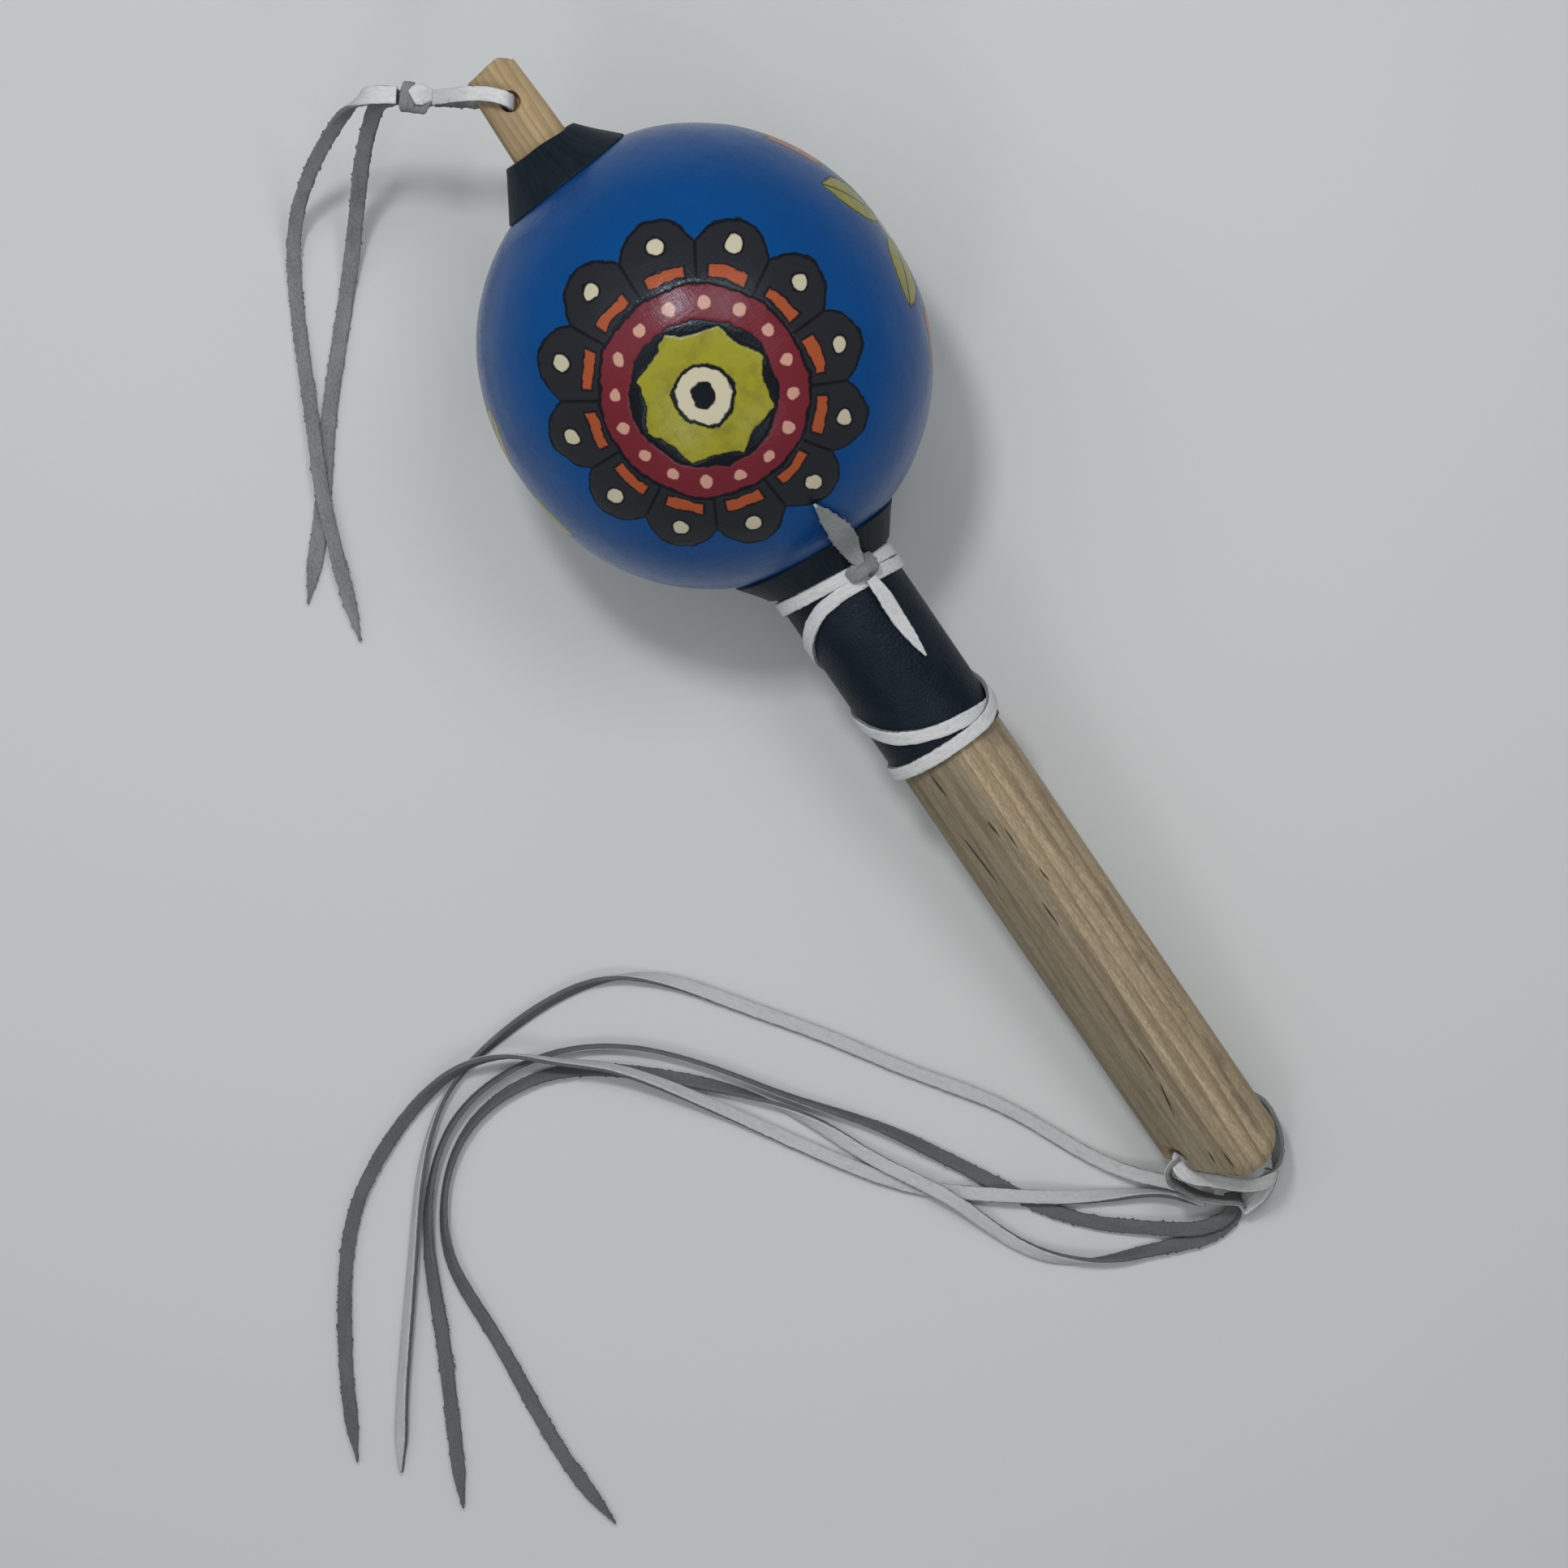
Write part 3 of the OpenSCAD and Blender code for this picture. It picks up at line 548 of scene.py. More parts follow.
def hole_lace(points, hole, seed, side=None):
    """A full-width strip along spline points given from a hole, with its start and its length in mm."""
    walk, even = smooth_path(np.array(points, float) + [*hole, 0])
    strip = strip_grid(walk[:, :3], side, walk[:, 3], np.ones(len(even)), seed)
    return strip, walk[0, :3], even[-1]


loop, _, length = hole_lace(HANG_LOOP, TIP_HOLE, 13, ACROSS)
tip_loop = add_strips("tip_loop", [loop], "hang_lace", ["hang_loop"])
TIP_HOLE * MM
length * MM
loop[0].mean(1) * MM
print("tip_loop length in mm:", round(float(length), 1))

# %% [markdown]
# At the butt the lace comes out of the right mouth of the cross hole, goes round the whittled end and
# ends in a curl at the left mouth, from which the fringe hangs.

# %% The hitch at the butt
HITCH_BAND = [[0.5, -5.4, -2.5, 165], [0.9, -11.4, -5.4, 160], [-1.6, -12.9, -5.8, 155],
              [-8.0, -12.7, -5.2, 150], [-14.0, -9.6, -4.6, 135], [-17.6, -5.4, -3.8, 215],
              [-16.7, -0.6, -1.6, 285], [-12.3, 4.4, 0.9, 275], [-8.3, 8.2, 3.3, 275], [-4.9, 11, 5.3, 280],
              [-2.4, 11.4, 5.4, 285], [-0.4, 9.6, 4.4, 285]]
HITCH_CURL = [[-0.8, 10.4, 4.8, 90], [-1.5, 13.4, 5.2, 100], [-3.9, 14.6, 3.3, 115],
              [-7.2, 13.4, -0.3, 115], [-10.7, 11.6, -3.3, 115], [-13.9, 9.2, -4.9, 110],
              [-16.5, 6.6, -5.6, 105], [-18.3, 4.6, -6.6, 100], [-19.6, 4.0, -8.4, 100]]
HITCH_FOLD = [[-16.6, -6.0, -4.6, 20], [-19.2, -3.4, -6.4, 25], [-20.8, 0.8, -8.4, 20],
              [-21.0, 4.6, -9.9, 10]]
band, start, length = hole_lace(HITCH_BAND, BUTT_HOLE, 21, UP)
butt_band = add_strips("butt_band", [band], "rattle", ["hitch_band"])
start * MM
length * MM
band[0].mean(1) * MM
curl = hole_lace(HITCH_CURL, BUTT_HOLE, 22)[0]
fold = hole_lace(HITCH_FOLD, BUTT_HOLE, 23)[0]
add_strips("butt_curl", [curl, fold], "rattle", ["hitch_curl"])
print("butt_band length in mm:", round(float(length), 1))

# %% [markdown]
# Old pine is several things laid over each other: growth rings, which cross the top as dark lines, a grey
# and streaky left side, fine fibres, small dark splits, and yellow wood where a knife has cut, with painted
# shade on the tip's left facet. An image could show them, but masks follow the wood at any size. Each reads
# a place in the stick, up, to the side and along, and is drawn out along the grain.

# %% Wood grain
RING_GAP, RING_DRIFT = 3.5, 0.018
STAIN_SIDE, STAIN_WIDE = 9.0, 2.6
pine, tree, shader = new_material("pine_wood")
grain = attribute(tree, "grain", "Vector")
fresh = Field(tree, attribute(tree, "fresh"))
up_mm, side_mm, s_mm = (Field(tree, o) for o in add(tree, "SeparateXYZ", {0: grain}).outputs)
bend = blotch(tree, grain, (0.06, 0.06, 0.010), 0, 1, "Value") - 0.5
fibre = blotch(tree, grain, (1.8, 1.8, 0.04), 0.3, 0.7)
fine = blotch(tree, grain, (5.0, 5.0, 0.20), 0.35, 0.65)
mottle = blotch(tree, grain, (2.2, 2.2, 0.75), 0.42, 0.64)
weather = blotch(tree, grain, (0.42, 0.10, 0.012), 0.38, 0.62)
streaks = blotch(tree, grain, (0.35, 0.55, 0.022), 0.36, 0.64)
threads = blotch(tree, grain, (1.3, 1.3, 0.06), 0.52, 0.64)
stain = blotch(tree, grain, (0.30, 0.30, 0.09), 0.52, 0.66) * abs(side_mm + STAIN_SIDE).under(STAIN_WIDE, 1.4)
rings = ((side_mm + s_mm * RING_DRIFT) * (-1 / RING_GAP) + bend * 1.05 + streaks * 0.2 + 0.17).op("FRACT")
late = rings * rings * rings.under(0.95, 0.04)
tip_rings = (side_mm * -0.55 + up_mm * 0.16 + bend * 1.2).op("FRACT")
left_half = (side_mm * 0.16 + streaks * 0.5).op("ADD", 0.14, clamp=True)
# painted shade: 1 on the tip's left facet, whose cut wood is painted darker as if in shade
painted_facet_shade = (side_mm * 0.9).op("ADD", 1.0, clamp=True)
rubbed = (abs(side_mm) * 0.4).op("SUBTRACT", 4.0, clamp=True)
print("growth rings are", RING_GAP, "mm apart")

# %% [markdown]
# Splits are short lines between two places on the wood. Their colour goes on last, and they are also cut
# into the relief, so they stay dark from every side.

# %% Splits and wood colours
CRACK_WIDTH, CRACK_JAG, CRACK_SOFT = 0.75, 0.25, 0.04
CRACKS = [(7.7, -103, 7.3, -109.5), (9.5, -119, 8.9, -133), (3.1, -118.8, 2.8, -123.2),
          (0.9, -121.8, 0.95, -128), (-0.5, -134, -0.9, -138.5), (3.2, -141, 3.1, -148),
          (3.8, -181, 4.1, -189), (4.3, -190, 5.8, -199.5), (4.1, -210.2, 4.3, -214), (1.5, -212, 1.3, -217)]


def crack(side_from, s_from, side_to, s_to):
    """A thin line between two places on the wood, widest in its middle and jagged by the fibres."""
    share = (s_mm - s_from) * (1 / (s_to - s_from))
    off = side_mm - share * (side_to - side_from) - side_from + (fibre - 0.5) * CRACK_JAG
    return (abs(off) - share * (share * -1 + 1) * CRACK_WIDTH).under(0, CRACK_SOFT)


splits = crack(*CRACKS[0])
for ends in CRACKS[1:]:
    splits = splits.most(crack(*ends))
left_wood = layer(tree, late * 0.85, (0.225, 0.194, 0.134, 1), (0.122, 0.097, 0.060, 1))
rubbed_wood = layer(tree, left_half, (0.56, 0.44, 0.285, 1), (0.33, 0.265, 0.175, 1))
# knife-cut wood, with painted shade darkening the tip's left facet
cut_wood = washes(tree, (0.52, 0.385, 0.21, 1), (fibre * 0.35, (0.38, 0.26, 0.135, 1)),
                  (tip_rings * tip_rings * 0.75, (0.27, 0.17, 0.08, 1)),
                  (painted_facet_shade * 0.36, (0.24, 0.16, 0.085, 1)))
colour = washes(
    tree, (0.57, 0.445, 0.285, 1), (late * 0.95, (0.215, 0.146, 0.072, 1)),
    (fibre * 0.25, (0.50, 0.41, 0.27, 1)), (left_half * 0.78, left_wood),
    (left_half * weather * 0.65, (0.285, 0.258, 0.190, 1)), (rubbed * 0.5, rubbed_wood),
    ((left_half * 0.7 + 0.3) * threads * 0.5, (0.085, 0.071, 0.049, 1)),
    (mottle * 0.40, (0.16, 0.128, 0.082, 1)), (streaks * 0.16, (0.13, 0.105, 0.072, 1)),
    (fine * 0.34, (0.17, 0.130, 0.080, 1)), (stain * 0.55, (0.130, 0.105, 0.085, 1)),
    (fresh, cut_wood), (splits * 0.9, (0.028, 0.020, 0.014, 1)))
set_shader(tree, shader, Base_Color=colour, Roughness=fine * 0.15 + 0.62, Specular_IOR_Level=0.2,
           Normal=relieved(tree, fibre * 0.4 + fine * 0.3 - splits, 0.10))
print("splits in the wood:", len(CRACKS))

# %% [markdown]
# The handle is one pine dowel, thinned to a spindle where it goes through the gourd and whittled at both
# ends. Turned wood is an outline carried round an axis: a short list of radii and stations, walked in steps
# that are fine where the wood shows its detail, with a little noise for hand work.

# %% Handle outline
FULL_TURN = 2 * np.pi
SHOULDER_S, HOLE_ZONE = -POLE - SEAT_GAP, BUTT_S + 26
COLUMNS, HOLLOWS, FIBRE_RELIEF = 224, 0.10, 0.05


def outline_run(r_from, r_to, s_from, s_to, count):
    """Points evenly from one radius and station to another, without the first."""
    return np.column_stack([np.linspace(r_from, r_to, count + 1), np.linspace(s_from, s_to, count + 1)])[1:]


quarter = np.linspace(0, np.pi / 2, 14)[1:]
butt_edge = np.column_stack([HANDLE_R - BUTT_ROUND + BUTT_ROUND * np.sin(quarter),
                             BUTT_S + BUTT_ROUND - BUTT_ROUND * np.cos(quarter)])
outline = np.vstack([
    outline_run(0, HANDLE_R - BUTT_ROUND, BUTT_S, BUTT_S, 16), butt_edge,
    outline_run(HANDLE_R, HANDLE_R, BUTT_S + BUTT_ROUND, HOLE_ZONE, 80),
    outline_run(HANDLE_R, HANDLE_R, HOLE_ZONE, SHOULDER_S, 110),
    outline_run(HANDLE_R, SPINDLE_R, SHOULDER_S, SHOULDER_S, 3),
    outline_run(SPINDLE_R, SPINDLE_R, SHOULDER_S, POLE, 12),
    outline_run(SPINDLE_R, TIP_END_R, POLE, TIP_S - TIP_ROUND, 90),
    outline_run(TIP_END_R, TIP_END_R - TIP_ROUND, TIP_S - TIP_ROUND, TIP_S, 5),
    outline_run(TIP_END_R - TIP_ROUND, 0.05, TIP_S, TIP_S, 14)])
angle = np.linspace(0, FULL_TURN, COLUMNS, endpoint=False)
r, s = (np.repeat(c[:, None], COLUMNS, 1) for c in outline.T)
around = stacked(np.cos(angle) * r, np.sin(angle) * r, s)
r = r - HOLLOWS * ease(-0.2, 0.6, noise(around * [0.5, 0.5, 0.012], 31))
r = r - FIBRE_RELIEF * np.abs(noise(around * [1.6, 1.6, 0.03], 32))
print("handle grid:", r.shape, "from station", round(BUTT_S, 1), "to", round(TIP_S, 1), "mm")

# %% [markdown]
# A knife leaves flats. On the tip each flat is the chord between two ridges, so its radius is the
# ridge's radius times cos(half the flat's angle) over cos(the angle from its middle).

# %% Whittled tip
RIDGES = np.radians([-72, -8, 58, 118, 180, 236, 288])
FLATNESS, RIDGE_RISE, KNIFE_MARKS = 0.55, 0.03, 0.14
is_tip = ease(POLE - 1, POLE + 1, s)
turned = (angle - RIDGES[0]) % FULL_TURN + RIDGES[0]
k = np.searchsorted(RIDGES, turned, side="right") - 1
half_flat, flat_middle = np.diff(RIDGES)[k] / 2, (RIDGES[k] + RIDGES[k + 1]) / 2
chord = np.cos(half_flat) / np.cos(turned - flat_middle)
r = r * (1 + is_tip * (RIDGE_RISE - FLATNESS * (1 - chord)))
r = r - is_tip * KNIFE_MARKS * np.abs(noise(around * [0.35, 0.35, 0.12], 33))
up, side = r * np.cos(angle), r * np.sin(angle)
print("flats on the tip:", len(RIDGES) - 1)

# %% [markdown]
# Holes could be cut with a Boolean, but that breaks the even grid. Here each mouth is two pits pressed into
# the surface, a shallow dish round a deep bore. The slanted cut at the butt is a limit on the stations.
# The end of the tip and the butt's rounded right half are added to the stations in the same way.

# %% Cross holes and cut ends
BUTT_TOWARD = np.radians(65)
TIP_MOUTH = [(4.2, 0.55, 1.8), (2.3, 4.6, 0.35)]
BUTT_MOUTH = [(4.6, 1.1, 2.0), (2.8, 7.0, 0.5)]
SLANT_INSET, SLANT, KNIFE_WAVE = 10.0, np.radians(40), 0.25
END_ROUGH, END_RISE, END_FALL = 0.15, 1.0, 2.2
DOME_HIGH, DOME_SIDE, DOME_WIDE, DOME_DEEP, DOME_EDGE = 1.9, -5.0, 8.2, 7, 3.2


def pit(up, side, s, at_s, toward, radius, depth, soft):
    """Press points within radius of a hole's axis inward along it; the edge eases over soft mm."""
    push = up * np.cos(toward) + side * np.sin(toward)
    off = np.hypot(-up * np.sin(toward) + side * np.cos(toward), s - at_s)
    inward = depth * ease(0, soft, radius - off) * (push > 0)
    return up - inward * np.cos(toward), side - inward * np.sin(toward)


knife = KNIFE_WAVE * noise(stacked(up * 0.22, side * 0.10, 0), 34)
slant_s = BUTT_S + SLANT_INSET + (side - HANDLE_R) * np.tan(SLANT) + knife
cut_away = ease(0.0, 0.4, slant_s - s)
s = np.maximum(s, slant_s)
for at_s, toward, mouth in ((TIP_HOLE_S, 0.0, TIP_MOUTH), (BUTT_HOLE_S, BUTT_TOWARD, BUTT_MOUTH)):
    for facing in (toward, toward + np.pi):
        for dish in mouth:
            up, side = pit(up, side, s, at_s, facing, *dish)
at_end = ease(TIP_S - 1.2, TIP_S, s)
end_form = END_RISE * ease(-5, 3, -side) - END_FALL * ease(2.6, 6.4, -side)
s = s + at_end * (END_ROUGH * noise(stacked(up * 0.5, side * 0.5, 0), 35) + end_form)
dome = DOME_HIGH * np.maximum(1 - ((side - DOME_SIDE) / DOME_WIDE) ** 2, 0)
s = s - dome * ease(0, DOME_DEEP, BUTT_S + DOME_DEEP - s) * (side < DOME_EDGE)
wood = from_axis(up, side, s)
off_hole = np.hypot(-up * np.sin(BUTT_TOWARD) + side * np.cos(BUTT_TOWARD), s - BUTT_HOLE_S)
round_hole = 0.8 * ease(0, 2.5, 5.2 - off_hole) * (side > 0)
fresh_wood = np.maximum(np.maximum(0.75 * is_tip, 0.5 * cut_away), round_hole)
add_piece("wood_handle", [wood], {"grain": [stacked(up, side, s)], "fresh": [fresh_wood]}, pine, "rattle",
          ["handle"])

# %% [markdown]
# The gourd wears brushed satin paint: flat colours inside black lines. No picture is needed, because each
# motif is a formula for the distance from its edge, and a shape is where that distance is below a number.
# A place is read by its height, side and station from the gourd's middle. The same motif comes back
# REPEATS times round the belt, and slow noise makes its outlines waver as a hand does.

# %% Places on the gourd
GOURD_CENTRE = CENTRE - GOURD_OFFSET * SIDE
REPEATS, FIRST_TURN, MOTIF = 2, 0.14, 1.24
paint, tree, shader = new_material("gourd_paint")
spot = add(tree, "TexCoord").outputs["Object"]
from_middle = add(tree, "VectorMath", {0: spot, 1: tuple(GOURD_CENTRE * MM)}, operation="SUBTRACT").outputs[0]


def along_direction(tree, vector, direction):
    """How far a vector reaches along a direction, in mm."""
    made = add(tree, "VectorMath", {0: vector, 1: tuple(direction / MM)}, operation="DOT_PRODUCT")
    return Field(tree, made.outputs["Value"])


high, left, station = (along_direction(tree, from_middle, d) for d in (UPWARD, SIDE, AXIS))
local = add(tree, "CombineXYZ", {0: high, 1: left, 2: station}).outputs[0]
waver = (blotch(tree, local, (0.16, 0.16, 0.16), 0, 1, "Value") - 0.5) * 2.6
waver = waver + (blotch(tree, local, (0.55, 0.55, 0.55), 0, 1, "Value") - 0.5) * 0.8
belt = (high * high + left * left).op("SQRT")
share = (left.op("ARCTAN2", high) - FIRST_TURN) * (REPEATS / FULL_TURN)
print("paint repeats round the belt:", REPEATS)


# %% Motif helpers and colours
def about(start, lift):
    """Distance over the round from the nearest repeat of a motif, and the direction there."""
    turn = ((share + start).op("FRACT") - 0.5) * (FULL_TURN / REPEATS)
    x, y = belt * turn.op("SINE"), station - lift
    flat = (x * x + y * y).op("SQRT")
    return flat.op("ARCTAN2", belt * turn.op("COSINE")) * (GOURD_R / MOTIF) + waver, y.op("ARCTAN2", x)


def spoke(direction, count):
    """Place across the nearest of so many spokes, from -0.5 to 0.5."""
    return (direction * (count / FULL_TURN)).op("FRACT") - 0.5


def bead(reach, across, count, ring):
    """Distance from the nearest bead of a ring of beads."""
    off = across * reach * (FULL_TURN / count)
    return (off * off + (reach - ring) * (reach - ring)).op("SQRT")


BLACK, CHARCOAL = (0.006, 0.006, 0.008, 1), (0.019, 0.019, 0.023, 1)
RED, ORANGE = (0.150, 0.016, 0.024, 1), (0.36, 0.075, 0.024, 1)
CREAM, ROSE = (0.54, 0.49, 0.36, 1), (0.52, 0.29, 0.22, 1)
brush = blotch(tree, local, (1.1, 2.4, 0.35), 0.3, 0.7)
cross_brush = blotch(tree, local, (0.5, 0.4, 2.2), 0.3, 0.7)
dull = blotch(tree, local, (0.06, 0.06, 0.06), 0.4, 0.7)
thin_paint = blotch(tree, local, (0.3, 0.3, 0.3), 0.45, 0.7)
mustard = layer(tree, thin_paint * 0.6, (0.29, 0.27, 0.02, 1), (0.17, 0.15, 0.02, 1))
blue = washes(tree, (0.0008, 0.057, 0.218, 1), (brush * 0.3, (0.0016, 0.072, 0.262, 1)),
              (dull * 0.35, (0.0006, 0.042, 0.170, 1)))


def inked(distance, edge, ink, tint, inside=None):
    """A tint up to an edge, over black that reaches further by the ink's width."""
    mask = distance.under(edge)
    return [(distance.under(edge + ink), BLACK), (mask if inside is None else mask * inside, tint)]


print("paint colours: 6, with mustard and blue mixed from two or three each")

# %% [markdown]
# The large motif is a rosette: a ring of dark petals with beads and bars, a red band with rose beads, and a
# lobed mustard heart. Petals are circles whose edge is pulled in between the spokes.

# %% Rosette
PETALS, PETAL_R, PETAL_PULL, FURROW = 12, 25.4, 5, 0.3
BEAD_RING, BAR_RING = 26, 20.7
BAND_R, BAND_BEADS, BAND_BEAD_RING = 18.1, 16, 15.4
HEART_R, LOBES, LOBE_DEPTH, EYE_R, PUPIL_R = 12.0, 4, 1.8, 4.7, 2.1
reach, direction = about(0.5, -3)
petal = spoke(direction, PETALS)
petals = reach - (petal * petal * -4 + 1) * PETAL_PULL
furrow = (abs(petal) * -1 + 0.5) * reach * (FULL_TURN / PETALS)
tip_bead = bead(reach, petal, PETALS, BEAD_RING)
ring_bead = bead(reach, spoke(direction, BAND_BEADS), BAND_BEADS, BAND_BEAD_RING)
lobes = reach + abs((direction * LOBES).op("SINE")) * LOBE_DEPTH
root_bar = (abs(reach - BAR_RING) - 1.0).most((abs(petal) - 0.3) * 9)
shapes = inked(petals, PETAL_R, 0.8, CHARCOAL, furrow.under(FURROW).inverse())
shapes += inked(tip_bead, 1.45, 0.45, CREAM) + inked(root_bar, 0, 0.35, ORANGE)
shapes += inked(reach, BAND_R, 0.7, RED) + [(ring_bead.under(1.1), ROSE), (reach.under(12.8), BLACK)]
shapes += [(lobes.under(HEART_R), mustard)] + inked(reach, EYE_R, 0.7, CREAM)
shapes += [(reach.under(PUPIL_R), BLACK)]
lines = [petals - 25.8, reach - 18.5, reach - 12.6, lobes - 12.2, reach - 5.1]
print("shapes in the rosette:", len(shapes))

# %% [markdown]
# Between the rosettes stand groups of four leaves round a small eye, with a barred block on each side. A
# leaf is the room between two parabolas, and a block is a rectangle cut by thin black lines.

# %% Leaf groups
LEAVES, LEAF_AT, LEAF_LONG, LEAF_WIDE, VEIN = 4, 10.6, 8.4, 4.3, 0.28
BLOCK_WIDE, BLOCK_AT, BLOCK_HIGH, STRIPE = 5.6, 21, 5, 3.73
reach, direction = about(0.0, 2)
leaf_turn = spoke(direction, LEAVES) * (FULL_TURN / LEAVES)
leaf_x, leaf_y = reach * leaf_turn.op("COSINE"), abs(reach * leaf_turn.op("SINE"))
leaf = leaf_y - ((leaf_x - LEAF_AT).op("POWER", 2) * (-1 / LEAF_LONG**2) + 1) * LEAF_WIDE
bar_x, bar_y = reach * direction.op("COSINE"), abs(reach * direction.op("SINE"))
bars = (abs(bar_x) - BLOCK_WIDE).most(abs(bar_y - BLOCK_AT) - BLOCK_HIGH)
bar_gap = abs((bar_x * (1 / STRIPE) + 0.5).op("FRACT") - 0.5) * -STRIPE + STRIPE / 2
shapes += inked(leaf, 0, 0.7, mustard, leaf_y.under(VEIN).inverse()) + inked(reach, 3.2, 0.7, CREAM)
shapes += [(reach.under(1.4), RED)] + inked(bars, 0, 0.7, ORANGE, bar_gap.under(0.35).inverse())
lines += [leaf - 0.35, reach - 3.6, bars - 0.35]
print("painted shapes:", len(shapes))

# %% [markdown]
# Brush strokes in two directions set the gloss and a shallow relief, and the black lines lie a little lower
# than the colours, as thin paint does.

# %% Paint shader
LINE_WIDTH, LINE_SOFT, PAINT_RELIEF = 0.3, 0.25, 0.07
groove = abs(lines[0]).under(LINE_WIDTH, LINE_SOFT)
for line in lines[1:]:
    groove = groove.most(abs(line).under(LINE_WIDTH, LINE_SOFT))
strokes = brush * 0.5 + cross_brush * 0.5
set_shader(tree, shader, Base_Color=washes(tree, blue, *shapes), Specular_IOR_Level=0.22,
           Roughness=strokes * 0.15 + dull * 0.05 + 0.14, Specular_Tint=(0.65, 0.87, 1.0, 1),
           Normal=relieved(tree, strokes * 0.5 + dull * 0.3 - groove, PAINT_RELIEF))
print("grooves along painted lines:", len(lines))

# %% [markdown]
# The gourd is a ball drawn out in the middle by a few millimetres. Rays from its middle meet a half ball
# or the straight belt between, and slow noise makes the dried shell a little uneven. It is a true shell
# with an inside, so the seeds have a room.

# %% Gourd shell
WALL, SHRUNK, SEED_ROOM, BORE_CLEAR = 4.0, 0.35, 0.8, 0.2
GOURD_COLUMNS, OUTER_ROWS, INNER_ROWS = 384, 190, 26
BORE_R = SPINDLE_R + BORE_CLEAR


def gourd_reach(direction, ball):
    """Distance from the gourd's middle to a ball drawn out by BALL_S each way, along a direction."""
    axial = np.abs(direction[..., 2])
    flat = np.sqrt(np.maximum(1 - axial**2, 1e-9))
    belt = ball / flat
    dome = axial * BALL_S + np.sqrt(ball**2 - BALL_S**2 * (1 - axial**2))
    return np.where(belt * axial <= BALL_S, belt, dome)


angle = np.linspace(0, FULL_TURN, GOURD_COLUMNS, endpoint=False)[None, :]


def gourd_rows(ball, count):
    """Rings from one bore to the other; their middles shift to the handle's axis near the poles."""
    first = np.arcsin(BORE_R / ball)
    polar = np.linspace(first, np.pi - first, count)[:, None]
    shift = GOURD_OFFSET / ball * np.abs(np.cos(polar)) ** 5
    direction = unit(stacked(np.sin(polar) * np.cos(angle), np.sin(polar) * np.sin(angle) + shift,
                             np.cos(polar)))
    uneven = 0.16 * noise(direction * 2.6 + 9, 41) + 0.08 * noise(direction * 7 + 5, 42)
    uneven = uneven + 0.03 * noise(direction * 22, 43) - SHRUNK
    return direction * (gourd_reach(direction, ball) + uneven)[..., None]


inside = gourd_rows(GOURD_R - WALL + SEED_ROOM, INNER_ROWS)
shell = np.vstack([gourd_rows(GOURD_R, OUTER_ROWS), inside[::-1]])
globe = from_axis(shell[..., 0], shell[..., 1], shell[..., 2], GOURD_CENTRE)
add_piece("gourd_globe", [globe], {}, paint, "rattle", ["gourd_shell"], closed_rows=True)

# %% [markdown]
# Black leather covers the joints. Its two kinds share one attribute, "skin", which tells how far round and
# how far along the piece a point lies, so creases and pebbles follow the leather and not the room.

# %% Leather materials
smooth_leather, tree, shader = new_material("smooth_leather")
skin = attribute(tree, "skin", "Vector")
pores = blotch(tree, skin, (3.2, 3.2, 3.2), 0.3, 0.7)
creases = blotch(tree, skin, (1.1, 0.10, 1.0), 0.45, 0.75)
worn = blotch(tree, skin, (0.20, 0.12, 0.2), 0.45, 0.75)
colour = washes(tree, (0.0018, 0.0080, 0.0155, 1), (worn * 0.5, (0.010, 0.0165, 0.024, 1)),
                (creases * 0.4, (0.019, 0.022, 0.028, 1)))
set_shader(tree, shader, Base_Color=colour, Roughness=worn * 0.15 + 0.50, Specular_IOR_Level=0.18,
           Normal=relieved(tree, pores * 0.3 + creases, 0.05))

pebbled_leather, tree, shader = new_material("pebbled_leather")
skin = attribute(tree, "skin", "Vector")
cells = add(tree, "TexVoronoi", {"Vector": skin, "Scale": 1.9, "Randomness": 1.0}, feature="SMOOTH_F1")
pebble = Field(tree, cells.outputs["Distance"]).inverse()
worn = blotch(tree, skin, (0.10, 0.10, 0.1), 0.45, 0.70)
colour = layer(tree, worn * pebble * 0.5, (0.0020, 0.0075, 0.0150, 1), (0.022, 0.030, 0.038, 1))
set_shader(tree, shader, Base_Color=colour, Roughness=worn * 0.10 + 0.46, Specular_IOR_Level=0.18,
           Normal=relieved(tree, pebble, 0.16))
print("leathers:", smooth_leather.name, pebbled_leather.name)

# %% [markdown]
# Each collar is a cone with slightly hollowed sides. It points at the middle of the gourd's half ball, so
# its foot meets the gourd at one radius all round although the stick runs to one side. The profile is
# one arc: its thickness rises from nothing at the rim like a half circle, which rolls the edge.

# %% Collars
LEATHER, COLLAR_HOLLOW, SLOPE_SHARE = 1.2, 0.12, 1.1
COLLAR_S, CUFF_S, CUFF_SHORT = POLE + 6.7, -POLE - 3.3, 1.0
SLEEVE_LEATHER, SLEEVE_IN_R = 0.8, HANDLE_R + SEAT_GAP / 2
SLEEVE_R = SLEEVE_IN_R + SLEEVE_LEATHER
COLLAR_FOOT_R, CUFF_FOOT_R, COLLAR_COLUMNS = 16.0, 20.0, 200
angle = np.linspace(0, FULL_TURN, COLLAR_COLUMNS, endpoint=False)


